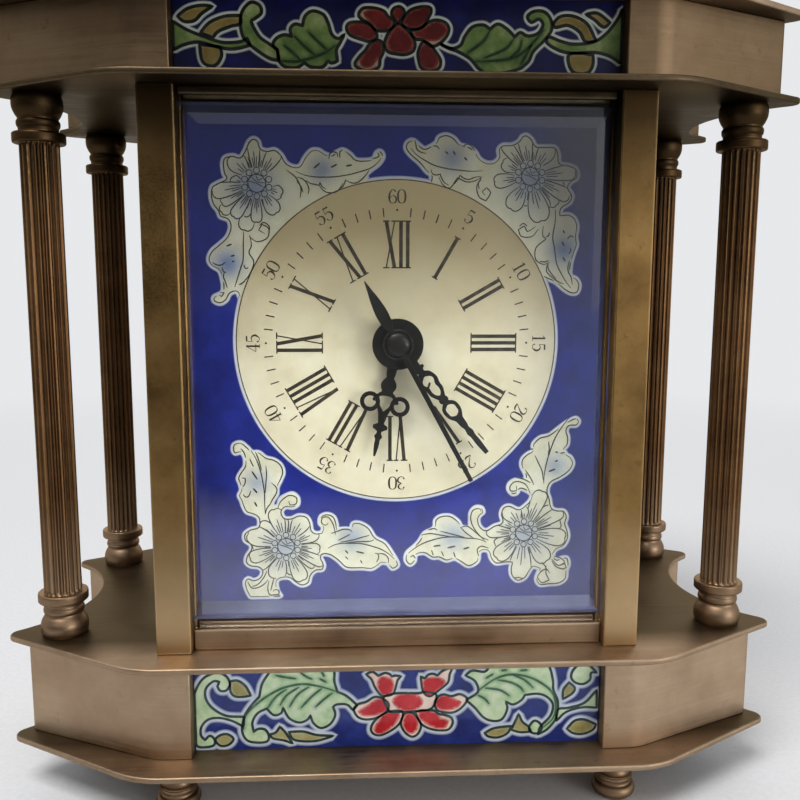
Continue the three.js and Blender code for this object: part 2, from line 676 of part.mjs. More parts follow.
const knobProfile = [
  [0, 0],
  [KNOB_NECK_RADIUS, 0],
  [KNOB_NECK_RADIUS, KNOB_NECK_LENGTH],
  [KNOB_RADIUS, knobGrip],
  [KNOB_RADIUS, knobGrip + KNOB_EDGE],
  [KNOB_FACE_RADIUS, KNOB_LENGTH],
  [0, KNOB_LENGTH],
];
const knob = place("door_knob", turnedAlongY(knobProfile, SMALL_SIDES), brass);
knob.position.set(doorFreeX + DOOR_STILE / 2, doorBack, deck + KNOB_HEIGHT);

// Top tier
place("top_lower_plate", tierPlate(canopy, [...tenonHoles(), hingeHole()]), darkBronze);
addTier("top", topPlateTop, TOP_WALL_HEIGHT);
place("top_upper_plate", tierPlate(topWallTop, []), darkBronze);

// Carrying handle: a bail with eyes at its ends, turning on pins that stand inwards from two ears
const handle = new THREE.Group();
handle.position.z = roof + HANDLE_PIVOT_HEIGHT;
clock.add(handle);
const eyeInner = HANDLE_PIVOT_X - HANDLE_EYE_WIDTH;
const eyeMiddle = HANDLE_PIVOT_X - HANDLE_EYE_WIDTH / 2;
const bailLine = new THREE.CurvePath();
const at = (x, z) => new THREE.Vector3(x, 0, z);
const shoulderZ = HANDLE_RISE * 0.55;
bailLine.add(new THREE.LineCurve3(at(-eyeMiddle, HANDLE_EYE_RADIUS - ROOT), at(-eyeMiddle, shoulderZ / 2)));
bailLine.add(
  new THREE.CubicBezierCurve3(
    at(-eyeMiddle, shoulderZ / 2), at(-eyeMiddle, shoulderZ * 1.3),
    at(-HANDLE_GRIP_HALF - 7, HANDLE_RISE), at(-HANDLE_GRIP_HALF, HANDLE_RISE),
  ),
);
bailLine.add(new THREE.LineCurve3(at(-HANDLE_GRIP_HALF, HANDLE_RISE), at(HANDLE_GRIP_HALF, HANDLE_RISE)));
bailLine.add(
  new THREE.CubicBezierCurve3(
    at(HANDLE_GRIP_HALF, HANDLE_RISE), at(HANDLE_GRIP_HALF + 7, HANDLE_RISE),
    at(eyeMiddle, shoulderZ * 1.3), at(eyeMiddle, shoulderZ / 2),
  ),
);
bailLine.add(new THREE.LineCurve3(at(eyeMiddle, shoulderZ / 2), at(eyeMiddle, HANDLE_EYE_RADIUS - ROOT)));
const barSection = new THREE.Shape(arcPoints(flat(0, 0), HANDLE_BAR_RADIUS, 0, TURN, 8).slice(0, 8));
const bar = new THREE.ExtrudeGeometry(barSection, { extrudePath: bailLine, steps: BAIL_STEPS, bevelEnabled: false });
const eye = (side) =>
  rodAlongX(HANDLE_EYE_RADIUS, eyeInner, HANDLE_PIVOT_X).rotateZ(side < 0 ? Math.PI : 0);
const boreLeft = rodAlongX(HANDLE_PIN_RADIUS + BORE_GAP, -HANDLE_PIVOT_X - OVERRUN, -eyeInner + OVERRUN);
const boreRight = rodAlongX(HANDLE_PIN_RADIUS + BORE_GAP, eyeInner - OVERRUN, HANDLE_PIVOT_X + OVERRUN);
place("handle_bail", cut(join(bar, eye(1), eye(-1)), boreLeft, boreRight), bronze, handle);

function handleEar() {
  const inner = HANDLE_PIVOT_X + SLIDE_GAP;
  const outer = inner + EAR_WIDTH;
  const middle = (inner + outer) / 2;
  const down = -HANDLE_PIVOT_HEIGHT;
  return join(
    rodAlongX(EAR_RADIUS, inner, outer),
    block(inner, outer, -EAR_RADIUS * 0.8, EAR_RADIUS * 0.8, down, 0),
    rodUpright(EAR_FOOT_RADIUS, down, down + EAR_FOOT_HEIGHT).translate(middle, 0, 0),
    rodAlongX(HANDLE_PIN_RADIUS, eyeInner, inner + ROOT),
  );
}
place("handle_ear_right", handleEar(), bronze, handle);
place("handle_ear_left", handleEar(), bronze, handle).rotation.z = Math.PI;

// Dial plate with four feet on the movement
const works = new THREE.Group();
works.position.z = dialHeight;
clock.add(works);
const dialBack = DIAL_FRONT + DIAL_THICKNESS;
const frontPlate = dialBack + MOTION_WORK_DEPTH;
const between = frontPlate + MOVEMENT_PLATE; // front of the space between the plates
const backPlate = between + PLATE_SPACING;
const behind = backPlate + MOVEMENT_PLATE;
const hubBore = CENTRE_TUBE_RADIUS + BORE_GAP;
const dialShape = rectangle(
  -DIAL_HALF_WIDTH, DIAL_HALF_WIDTH,
  floorTop + DIAL_EDGE_GAP - dialHeight, ceilingUnderside - DIAL_EDGE_GAP - dialHeight,
);
dialShape.holes.push(circleHole(0, 0, HOUR_PIPE_RADIUS + BORE_GAP));
const dialFeet = [-1, 1].flatMap((side) =>
  [DIAL_FOOT_UP, -DIAL_FOOT_DOWN].map((z) =>
    rodAlongY(DIAL_FOOT_RADIUS, dialBack - ROOT, frontPlate, 8).translate(side * DIAL_FOOT_X, 0, z),
  ),
);
place("dial_plate", join(facing(dialShape, DIAL_FRONT, dialBack), ...dialFeet), blueEnamel, works);

// Tooth outlines
function wheelOutline(teeth, module, phase) {
  const pitch = TURN / teeth;
  const middle = (module * teeth) / 2;
  const points = [];
  for (let i = 0; i < teeth; i++) {
    const angle = phase + i * pitch;
    points.push(polar(middle - DEDENDUM * module, angle - TOOTH_ROOT_HALF * pitch));
    points.push(polar(middle + WHEEL_ADDENDUM * module, angle));
    points.push(polar(middle - DEDENDUM * module, angle + TOOTH_ROOT_HALF * pitch));
  }
  return new THREE.Shape(points);
}

function pinionOutline(leaves, module, phase) {
  const pitch = TURN / leaves;
  const middle = (module * leaves) / 2;
  const points = [];
  for (let i = 0; i < leaves; i++) {
    const angle = phase + i * pitch;
    points.push(polar(middle - DEDENDUM * module, angle - LEAF_ROOT_HALF * pitch));
    points.push(polar(middle + PINION_ADDENDUM * module, angle - LEAF_TIP_HALF * pitch));
    points.push(polar(middle + PINION_ADDENDUM * module, angle + LEAF_TIP_HALF * pitch));
    points.push(polar(middle - DEDENDUM * module, angle + LEAF_ROOT_HALF * pitch));
  }
  return new THREE.Shape(points);
}

// Phase that puts a gap of the second gear over a tooth of the first, across the line at an angle
function meshPhase(firstTeeth, firstPhase, secondTeeth, lineAngle) {
  const firstPitch = TURN / firstTeeth;
  const secondPitch = TURN / secondTeeth;
  const ahead = (lineAngle - firstPhase) / firstPitch;
  return lineAngle + Math.PI - (0.5 - ahead) * secondPitch;
}

// Windows between the spokes of a wheel
function crossings(teeth, module) {
  const rim = (module * teeth) / 2 - DEDENDUM * module - RIM_WIDTH;
  return Array.from({ length: SPOKES }, (_, i) => {
    const from = (i * TURN) / SPOKES;
    const to = ((i + 1) * TURN) / SPOKES;
    const atRim = Math.asin(SPOKE_WIDTH / 2 / rim);
    const atHub = Math.asin(SPOKE_WIDTH / 2 / HUB_RADIUS);
    const window = new THREE.Path();
    window.setFromPoints([
      ...arcPoints(flat(0, 0), rim, from + atRim, to - atRim, 4),
      ...arcPoints(flat(0, 0), HUB_RADIUS, to - atHub, from + atHub, 2),
    ]);
    return window;
  });
}

function crossedWheel(teeth, module, phase, depth) {
  const shape = wheelOutline(teeth, module, phase);
  shape.holes.push(...crossings(teeth, module));
  return facing(shape, between + depth, between + depth + WHEEL_THICKNESS);
}

const pinion = (leaves, module, phase, middleDepth) =>
  facing(
    pinionOutline(leaves, module, phase),
    between + middleDepth - PINION_LENGTH / 2,
    between + middleDepth + PINION_LENGTH / 2,
  );

// An arbor between the plates, with a pivot in each
function pivotedArbor(radius = ARBOR_RADIUS) {
  const shake = SLIDE_GAP;
  return turnedAlongY(
    [
      [0, frontPlate],
      [PIVOT_RADIUS, frontPlate],
      [PIVOT_RADIUS, between + shake],
      [radius, between + shake],
      [radius, backPlate - shake],
      [PIVOT_RADIUS, backPlate - shake],
      [PIVOT_RADIUS, behind],
      [0, behind],
    ],
    8,
  );
}

const onDial = (distance, degrees) => polar(distance, radians(degrees));
const thirdAt = onDial(THIRD_DISTANCE, THIRD_ANGLE);
const escapeAt = onDial(ESCAPE_DISTANCE, ESCAPE_ANGLE);
const barrelAt = onDial(BARREL_DISTANCE, BARREL_ANGLE);
const minuteAt = onDial(MOTION_DISTANCE, MOTION_ANGLE);
const leverAt = onDial(LEVER_DISTANCE, LEVER_ANGLE).add(escapeAt);
const balanceAt = onDial(BALANCE_DISTANCE, BALANCE_ANGLE).add(leverAt);
const moduleFor = (distance, first, second) => (2 * distance) / (first + second);
const centreModule = moduleFor(THIRD_DISTANCE, CENTRE_WHEEL_TEETH, THIRD_PINION_LEAVES);
const thirdModule = moduleFor(THIRD_DISTANCE, THIRD_WHEEL_TEETH, SECONDS_PINION_LEAVES);
const escapeModule = moduleFor(ESCAPE_DISTANCE, SECONDS_WHEEL_TEETH, ESCAPE_PINION_LEAVES);
const barrelModule = moduleFor(BARREL_DISTANCE, BARREL_TEETH, CENTRE_PINION_LEAVES);
const cannonModule = moduleFor(MOTION_DISTANCE, CANNON_LEAVES, MINUTE_WHEEL_TEETH);
const hourModule = moduleFor(MOTION_DISTANCE, MINUTE_PINION_LEAVES, HOUR_WHEEL_TEETH);
const settingAt = onDial(MOTION_DISTANCE + (cannonModule * (MINUTE_WHEEL_TEETH + SETTING_TEETH)) / 2, MOTION_ANGLE);

function turningAt(point) {
  const group = new THREE.Group();
  group.position.set(point.x, 0, point.y);
  works.add(group);
  return group;
}

// Plates of the movement: the front one carries the pillars, both stand on the case floor
function movementPlate(front, holes) {
  const bottom = floorTop - dialHeight;
  const shape = new THREE.Shape([
    flat(-FRAME_HALF_WIDTH, -FRAME_BOTTOM),
    flat(-LEG_OUTER, -FRAME_BOTTOM),
    flat(-LEG_OUTER, bottom),
    flat(-LEG_INNER, bottom),
    flat(-LEG_INNER, -FRAME_BOTTOM),
    flat(LEG_INNER, -FRAME_BOTTOM),
    flat(LEG_INNER, bottom),
    flat(LEG_OUTER, bottom),
    flat(LEG_OUTER, -FRAME_BOTTOM),
    flat(FRAME_HALF_WIDTH, -FRAME_BOTTOM),
    flat(FRAME_HALF_WIDTH, FRAME_TOP),
    flat(-FRAME_HALF_WIDTH, FRAME_TOP),
  ]);
  shape.holes.push(...holes);
  return facing(shape, front, front + MOVEMENT_PLATE);
}
const pivotHole = (point, radius = PIVOT_RADIUS, sides = HOLE_SIDES) =>
  circleHole(point.x, point.y, radius + BORE_GAP, sides);
const sharedHoles = () => [
  pivotHole(thirdAt),
  pivotHole(escapeAt),
  pivotHole(leverAt),
  pivotHole(balanceAt),
  pivotHole(barrelAt, WINDING_ARBOR_RADIUS, SMALL_SIDES),
  pivotHole(settingAt, SETTING_ARBOR_RADIUS),
];
const pillars = [-1, 1].flatMap((side) =>
  [PILLAR_UP, -PILLAR_DOWN].map((z) =>
    rodAlongY(PILLAR_RADIUS, between - ROOT, backPlate).translate(side * PILLAR_X, 0, z),
  ),
);
const minuteStud = rodAlongY(STUD_RADIUS, dialBack + SLIDE_GAP, frontPlate + ROOT, 8);
minuteStud.translate(minuteAt.x, 0, minuteAt.y);
const frontFrame = movementPlate(frontPlate, [...sharedHoles(), pivotHole(flat(0, 0), CENTRE_TUBE_RADIUS, SMALL_SIDES)]);
place("movement_front_plate", join(frontFrame, ...pillars, minuteStud), brass, works);

// Hairspring: a flat spiral of fine wire whose outer end is held by a stud on the back plate
const springOuter = HAIRSPRING_INNER + HAIRSPRING_PITCH * HAIRSPRING_TURNS;
const springY = between + HAIRSPRING_DEPTH;
class Spiral extends THREE.Curve {
  getPoint(t, target = new THREE.Vector3()) {
    const radius = HAIRSPRING_INNER + HAIRSPRING_PITCH * HAIRSPRING_TURNS * t;
    const angle = TURN * HAIRSPRING_TURNS * t;
    return target.set(radius * Math.cos(angle), springY, radius * Math.sin(angle));
  }
}
const wireHalf = HAIRSPRING_WIRE / 2;
const wireSection = rectangle(-wireHalf, wireHalf, -wireHalf, wireHalf);
const springLine = new Spiral();
const springGeometry = new THREE.ExtrudeGeometry(wireSection, {
  extrudePath: springLine,
  steps: HAIRSPRING_TURNS * 12,
  bevelEnabled: false,
});

function leastSpringGap() {
  const perTurn = 48;
  const points = springLine.getPoints(perTurn * HAIRSPRING_TURNS);
  let least = Infinity;
  points.forEach((p, i) => {
    for (let k = i + perTurn / 2; k < points.length; k++) least = Math.min(least, p.distanceTo(points[k]));
  });
  return least - HAIRSPRING_WIRE * Math.SQRT2;
}
const springGap = leastSpringGap();
console.log(`hairspring: least gap between turns ${springGap.toFixed(2)} mm`);
if (springGap < HAIRSPRING_LEAST_GAP) console.warn("hairspring turns are too close");

const springStud = rodAlongY(HAIRSPRING_STUD, springY - HAIRSPRING_STUD, backPlate + ROOT, 8);
const studReach = springOuter + HAIRSPRING_STUD + HAIRSPRING_WIRE + SLIDE_GAP;
springStud.translate(balanceAt.x + studReach, 0, balanceAt.y);
const backFrame = movementPlate(backPlate, [...sharedHoles(), pivotHole(flat(0, 0), SECONDS_ARBOR_RADIUS)]);
place("movement_back_plate", join(backFrame, springStud), brass, works);
place("hairspring", springGeometry, steel, turningAt(balanceAt));

// Going train: barrel, centre wheel, third wheel, seconds wheel, escape wheel
const centreMiddle = CENTRE_WHEEL_DEPTH + WHEEL_THICKNESS / 2;
const thirdMiddle = THIRD_WHEEL_DEPTH + WHEEL_THICKNESS / 2;
const secondsMiddle = SECONDS_WHEEL_DEPTH + WHEEL_THICKNESS / 2;
const barrelMiddle = BARREL_WHEEL_DEPTH + BARREL_WHEEL_THICKNESS / 2;
const minuteHandBack = DIAL_FRONT - MINUTE_HAND_LIFT;
const secondsHandBack = DIAL_FRONT - SECONDS_HAND_LIFT;

const centrePhase = meshPhase(THIRD_PINION_LEAVES, 0, CENTRE_WHEEL_TEETH, radians(THIRD_ANGLE) + Math.PI);
const tubeBore = rodAlongY(CENTRE_TUBE_BORE, secondsHandBack, backPlate);
const centreWheel = cut(
  join(
    rodAlongY(CENTRE_TUBE_RADIUS, minuteHandBack - HAND_THICKNESS, between + CENTRE_WHEEL_DEPTH + PINION_LENGTH),
    crossedWheel(CENTRE_WHEEL_TEETH, centreModule, centrePhase, CENTRE_WHEEL_DEPTH),
    pinion(CENTRE_PINION_LEAVES, barrelModule, 0, barrelMiddle),
  ),
  tubeBore,
);
place("centre_wheel", centreWheel, brass, works);

const thirdPhase = meshPhase(SECONDS_PINION_LEAVES, 0, THIRD_WHEEL_TEETH, radians(THIRD_ANGLE));
const thirdWheel = join(
  pivotedArbor(),
  crossedWheel(THIRD_WHEEL_TEETH, thirdModule, thirdPhase, THIRD_WHEEL_DEPTH),
  pinion(THIRD_PINION_LEAVES, centreModule, 0, centreMiddle),
);
place("third_wheel", thirdWheel, brass, turningAt(thirdAt));

const secondsWheel = join(
  rodAlongY(SECONDS_ARBOR_RADIUS, secondsHandBack - HAND_THICKNESS, behind, 8),
  crossedWheel(SECONDS_WHEEL_TEETH, escapeModule, 0, SECONDS_WHEEL_DEPTH),
  pinion(SECONDS_PINION_LEAVES, thirdModule, 0, thirdMiddle),
);
place("seconds_wheel", secondsWheel, brass, works);

const escapePhase = meshPhase(SECONDS_WHEEL_TEETH, 0, ESCAPE_PINION_LEAVES, radians(ESCAPE_ANGLE));
function escapeOutline() {
  const pitch = TURN / ESCAPE_TEETH;
  const points = [];
  for (let i = 0; i < ESCAPE_TEETH; i++) {
    const angle = i * pitch;
    points.push(polar(ESCAPE_RADIUS * 0.72, angle));
    points.push(polar(ESCAPE_RADIUS, angle + pitch * 0.7));
    points.push(polar(ESCAPE_RADIUS, angle + pitch * 0.82));
  }
  return new THREE.Shape(points);
}
const escapeY = between + ESCAPE_WHEEL_DEPTH;
const escapeWheel = join(
  pivotedArbor(),
  facing(escapeOutline(), escapeY, escapeY + ESCAPE_WHEEL_THICKNESS),
  pinion(ESCAPE_PINION_LEAVES, escapeModule, escapePhase, secondsMiddle),
);
place("escape_wheel", escapeWheel, brass, turningAt(escapeAt));

// Spring barrel on its winding arbor
const barrelPhase = meshPhase(CENTRE_PINION_LEAVES, 0, BARREL_TEETH, radians(BARREL_ANGLE));
const barrelWheelFront = between + BARREL_WHEEL_DEPTH;
const drumFront = barrelWheelFront + BARREL_WHEEL_THICKNESS;
const barrel = cut(
  join(
    facing(wheelOutline(BARREL_TEETH, barrelModule, barrelPhase), barrelWheelFront, drumFront),
    rodAlongY(DRUM_RADIUS, drumFront - ROOT, drumFront + DRUM_LENGTH, DRUM_SIDES),
  ),
  rodAlongY(WINDING_ARBOR_RADIUS + BORE_GAP, between, backPlate),
);
place("spring_barrel", barrel, brass, turningAt(barrelAt));

const squareHalf = WINDING_SQUARE / 2;
const windingEnd = behind + SLIDE_GAP;
const windingArbor = join(
  rodAlongY(WINDING_ARBOR_RADIUS, frontPlate, windingEnd),
  block(-squareHalf, squareHalf, behind - ROOT, windingEnd + WINDING_SQUARE_LENGTH, -squareHalf, squareHalf),
);
const winding = turningAt(barrelAt);
place("winding_arbor", windingArbor, steel, winding);
const keyFront = windingEnd + SLIDE_GAP;
const keyBack = keyFront + KEY_SLEEVE_LENGTH;
const keyBore = squareHalf + BORE_GAP;
const lobeX = KEY_SLEEVE_RADIUS / 2 + KEY_LOBE_RADIUS;
const keyLobe = (side) =>
  raised(
    ringShape(side * lobeX, keyBack + KEY_LOBE_RADIUS / 2, KEY_LOBE_RADIUS, KEY_LOBE_BORE),
    -KEY_THICKNESS / 2, KEY_THICKNESS / 2,
  );
const keyStem = raised(
  rectangle(-KEY_SLEEVE_RADIUS, KEY_SLEEVE_RADIUS, keyBack - ROOT, keyBack + KEY_LOBE_RADIUS),
  -KEY_THICKNESS / 2, KEY_THICKNESS / 2,
);
const windingKey = cut(
  join(rodAlongY(KEY_SLEEVE_RADIUS, keyFront, keyBack), keyStem, keyLobe(1), keyLobe(-1)),
  block(
    -keyBore, keyBore,
    keyFront - OVERRUN, windingEnd + WINDING_SQUARE_LENGTH + SLIDE_GAP,
    -keyBore, keyBore,
  ),
);
place("winding_key", windingKey, brass, winding);

// Motion work between the dial and the front plate
const cannonBack = frontPlate - SLIDE_GAP;
const motionWheel = (outline, back, thickness) => facing(outline, back - thickness, back);
const cannonOutline = pinionOutline(CANNON_LEAVES, cannonModule, 0);
cannonOutline.holes.push(circleHole(0, 0, hubBore));
place("cannon_pinion", motionWheel(cannonOutline, cannonBack, PINION_LENGTH - 0.6), brass, works);

const minutePhase = meshPhase(CANNON_LEAVES, 0, MINUTE_WHEEL_TEETH, radians(MOTION_ANGLE));
const minuteWheelBack = cannonBack - SLIDE_GAP;
const minuteWheelFront = minuteWheelBack - WHEEL_THICKNESS;
const minuteWheel = cut(
  join(
    motionWheel(wheelOutline(MINUTE_WHEEL_TEETH, cannonModule, minutePhase), minuteWheelBack, WHEEL_THICKNESS),
    motionWheel(pinionOutline(MINUTE_PINION_LEAVES, hourModule, 0), minuteWheelFront + 0.3, PINION_LENGTH - 0.4),
  ),
  rodAlongY(STUD_RADIUS + BORE_GAP, DIAL_FRONT, between, 8),
);
place("minute_wheel", minuteWheel, brass, turningAt(minuteAt));

const hourPhase = meshPhase(MINUTE_PINION_LEAVES, 0, HOUR_WHEEL_TEETH, radians(MOTION_ANGLE) + Math.PI);
const hourWheelBack = cannonBack - PINION_LENGTH + 0.6 - SLIDE_GAP;
const hourWheel = cut(
  join(
    motionWheel(wheelOutline(HOUR_WHEEL_TEETH, hourModule, hourPhase), hourWheelBack, WHEEL_THICKNESS),
    rodAlongY(HOUR_PIPE_RADIUS, DIAL_FRONT - HOUR_HAND_LIFT - HAND_THICKNESS, hourWheelBack),
  ),
  rodAlongY(hubBore, DIAL_FRONT - SECONDS_HAND_LIFT, between),
);
place("hour_wheel", hourWheel, brass, works);

const settingPhase = meshPhase(MINUTE_WHEEL_TEETH, minutePhase, SETTING_TEETH, radians(MOTION_ANGLE));
const knobFront = behind + SETTING_KNOB_STANDOFF;
const setting = turningAt(settingAt);
const settingArbor = join(
  motionWheel(wheelOutline(SETTING_TEETH, cannonModule, settingPhase), minuteWheelBack, WHEEL_THICKNESS),
  rodAlongY(SETTING_ARBOR_RADIUS, minuteWheelFront, knobFront + SETTING_KNOB_LENGTH / 2, 8),
);
place("setting_arbor", settingArbor, brass, setting);
const settingKnob = cut(
  turnedAlongY(
    [
      [0, knobFront],
      [SETTING_KNOB_RADIUS - 1.4, knobFront],
      [SETTING_KNOB_RADIUS, knobFront + 1.6],
      [SETTING_KNOB_RADIUS, knobFront + SETTING_KNOB_LENGTH - 0.6],
      [SETTING_KNOB_RADIUS - 0.6, knobFront + SETTING_KNOB_LENGTH],
      [0, knobFront + SETTING_KNOB_LENGTH],
    ],
    TURNED_SIDES,
  ),
  rodAlongY(SETTING_ARBOR_RADIUS + BORE_GAP, knobFront - OVERRUN, knobFront + SETTING_KNOB_LENGTH / 2 + SLIDE_GAP, 8),
);
place("setting_knob", settingKnob, brass, setting);

// Pallet lever: two pallets that clear the tooth tips, and a fork that clears the roller
const leverY = escapeY - 0.1;
const leverThickness = ESCAPE_WHEEL_THICKNESS + 0.2;
const palletSpread = radians(52);
function palletLever() {
  const toEscape = radians(LEVER_ANGLE) + Math.PI;
  const toBalance = radians(BALANCE_ANGLE);
  const escapeCentre = polar(LEVER_DISTANCE, toEscape);
  const reach = ESCAPE_RADIUS + PALLET_CLEARANCE;
  const pallet = (side) => {
    const around = radians(LEVER_ANGLE) + side * palletSpread;
    const tip = polar(reach, around).add(escapeCentre);
    const outer = polar(reach + 1.5, around - side * 0.05).add(escapeCentre);
    const root = polar(1.5, toEscape - side * 1.9);
    const rootIn = polar(1.1, toEscape - side * 0.9);
    const corners = [tip, outer, root, rootIn];
    return facing(new THREE.Shape(side < 0 ? corners.reverse() : corners), leverY, leverY + leverThickness);
  };
  const forkReach = BALANCE_DISTANCE - ROLLER_RADIUS - FORK_CLEARANCE;
  const aside = toBalance + Math.PI / 2;
  const fork = [
    polar(0.8, aside),
    polar(forkReach, toBalance).add(polar(0.9, aside)),
    polar(forkReach - 1, toBalance),
    polar(forkReach, toBalance).add(polar(-0.9, aside)),
    polar(-0.8, aside),
  ].reverse();
  return join(
    pivotedArbor(),
    rodAlongY(1.6, leverY, leverY + leverThickness),
    pallet(1),
    pallet(-1),
    facing(new THREE.Shape(fork), leverY, leverY + leverThickness),
  );
}
place("pallet_lever", palletLever(), steel, turningAt(leverAt));

// Balance: a rim on two arms, with a staff and a roller beside the fork
const balanceY = between + BALANCE_DEPTH;
function balanceWheel() {
  const rim = new THREE.Shape(arcPoints(flat(0, 0), BALANCE_RADIUS, 0, TURN, DRUM_SIDES).slice(0, DRUM_SIDES));
  const inner = BALANCE_RADIUS - BALANCE_RIM;
  rim.holes.push(circleHole(0, 0, inner, DRUM_SIDES));
  const arm = rectangle(-inner - BALANCE_RIM / 2, inner + BALANCE_RIM / 2, -SPOKE_WIDTH / 2, SPOKE_WIDTH / 2);
  return join(
    facing(rim, balanceY, balanceY + BALANCE_THICKNESS),
    facing(arm, balanceY, balanceY + BALANCE_THICKNESS),
    pivotedArbor(),
    rodAlongY(ROLLER_RADIUS, leverY, leverY + leverThickness),
  );
}
place("balance_wheel", balanceWheel(), brass, turningAt(balanceAt));

// Hands, drawn pointing at twelve and turned to the time shown
const half = (points) => [
  ...points.map(([along, aside]) => flat(aside, along)),
  ...[...points].reverse().map(([along, aside]) => flat(-aside, along)),
];
const mirrored = (points) => new THREE.Shape(half(points));
const handPiece = (shape, back) => facing(shape, back - HAND_THICKNESS, back);

function pierced(outline, opening) {
  const shape = mirrored(outline);
  const hole = new THREE.Path();
  hole.setFromPoints(half(opening));
  shape.holes.push(hole);
  return shape;
}

function disc(radius, bore) {
  const shape = new THREE.Shape(arcPoints(flat(0, 0), radius, 0, TURN, TURNED_SIDES).slice(0, TURNED_SIDES));
  shape.holes.push(circleHole(0, 0, bore));
  return shape;
}

// Hour hand: a bell, a trefoil of three rings, a cross and a fine tip
function hourHand() {
  const back = DIAL_FRONT - HOUR_HAND_LIFT;
  const bore = HOUR_PIPE_RADIUS + BORE_GAP;
  const stem = mirrored([
    [bore + 0.6, 1.15], [6.3, 0.95], [7.1, 0.75], [8, 1.4], [8.9, 1.62], [9.8, 1.2], [10.6, 1.3],
  ]);
  const heart = pierced(
    [[10, 1], [10.9, 2], [12, 2.15], [13.4, 1.5], [15, 0.9]],
    [[10.9, 0.2], [11.1, 1.2], [11.8, 1.45], [13, 0.95], [14.2, 0.05]],
  );
  const tip = mirrored([
    [14.6, 0.9], [15.4, 0.87], [16.7, 0.6], [17.2, 1.5], [17.8, 1.5], [18.4, 0.5], [19.2, 0.55], [19.5, 0.85],
    [20.1, 0.5], [21.4, 0.5], [HOUR_HAND_LENGTH, 0.2],
  ]);
  return join(
    handPiece(disc(HUB_DISC_RADIUS - 0.4, bore), back),
    handPiece(stem, back),
    handPiece(heart, back),
    handPiece(ringShape(3.1, 12.6, 2.05, 1.2), back),
    handPiece(ringShape(-3.1, 12.6, 2.05, 1.2), back),
    handPiece(tip, back),
  );
}

// Minute hand: the black hub disc, a long loop, a cross bar, a short loop and a blade
function minuteHand() {
  const back = minuteHandBack;
  const neck = mirrored([[HUB_DISC_RADIUS - 0.5, 0.9], [6, 0.8], [6.2, 1.35], [6.7, 1.35], [7, 0.8], [8, 0.8]]);
  const longLoop = pierced(
    [[7.5, 0.8], [8.3, 1.6], [9.9, 2], [11.2, 1.65], [12.3, 1.6], [13.3, 1.2], [14.3, 0.7]],
    [[8.5, 0.3], [9.1, 1], [9.9, 1.2], [10.9, 0.7], [12, 0.8], [12.8, 0.6], [13.4, 0.1]],
  );
  const bar = mirrored([[14, 0.7], [14.4, 1], [14.9, 1], [15.3, 0.65], [15.7, 0.7]]);
  const shortLoop = pierced(
    [[15.2, 0.65], [16, 1.5], [17, 1.8], [18.4, 1.6], [19.6, 0.9]],
    [[15.95, 0.3], [16.5, 0.95], [17.4, 1.05], [18.3, 0.9], [18.8, 0.2]],
  );
  const blade = mirrored([
    [19.3, 0.9], [20.3, 0.8], [21.2, 0.75], [22.2, 0.5], [23.2, 0.75], [24.2, 0.55], [26, 0.6],
    [MINUTE_HAND_LENGTH, 0.45],
  ]);
  return join(
    handPiece(disc(HUB_DISC_RADIUS, hubBore), back),
    handPiece(neck, back),
    handPiece(longLoop, back),
    handPiece(bar, back),
    handPiece(shortLoop, back),
    handPiece(blade, back),
  );
}

// Seconds hand: a needle with a leaf-shaped tail and a domed cap
function secondsHand() {
  const back = secondsHandBack;
  const cap = turnedAlongY(
    [
      [0, back - HAND_THICKNESS - 0.5],
      [HUB_CAP_RADIUS - 1, back - HAND_THICKNESS - 0.4],
      [HUB_CAP_RADIUS, back - HAND_THICKNESS],
      [HUB_CAP_RADIUS, back + 0.7],
      [0, back + 0.7],
    ],
    TURNED_SIDES,
  );
  const needle = mirrored([[0, 0.75], [8, 0.55], [SECONDS_HAND_LENGTH, 0.45]]);
  const tail = mirrored([
    [-SECONDS_TAIL_LENGTH, 0.1], [-12, 0.5], [-10, 0.9], [-7.6, 1.2], [-6, 1.2], [-4.5, 1.05], [-3, 0.6], [0, 0.6],
  ]);
  return cut(
    join(cap, handPiece(needle, back), handPiece(tail, back)),
    rodAlongY(SECONDS_ARBOR_RADIUS + BORE_GAP, back - HAND_THICKNESS, back + 2, 8),
  );
}

const minutesShown = TIME.minutes + TIME.seconds / 60;
place("hour_hand", hourHand(), blackMetal, works).rotation.y = ((TIME.hours + minutesShown / 60) / 12) * TURN;
place("minute_hand", minuteHand(), blackMetal, works).rotation.y = (minutesShown / 60) * TURN;
place("seconds_hand", secondsHand(), blackMetal, works).rotation.y = (TIME.seconds / 60) * TURN;

export default clock;
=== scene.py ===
"""Looks of a bronze table clock with painted enamel panels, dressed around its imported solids."""
import math
from functools import partial
import bmesh
import bpy
from mathutils import Matrix, Vector
from mathutils.geometry import delaunay_2d_cdt
from mathutils.kdtree import KDTree


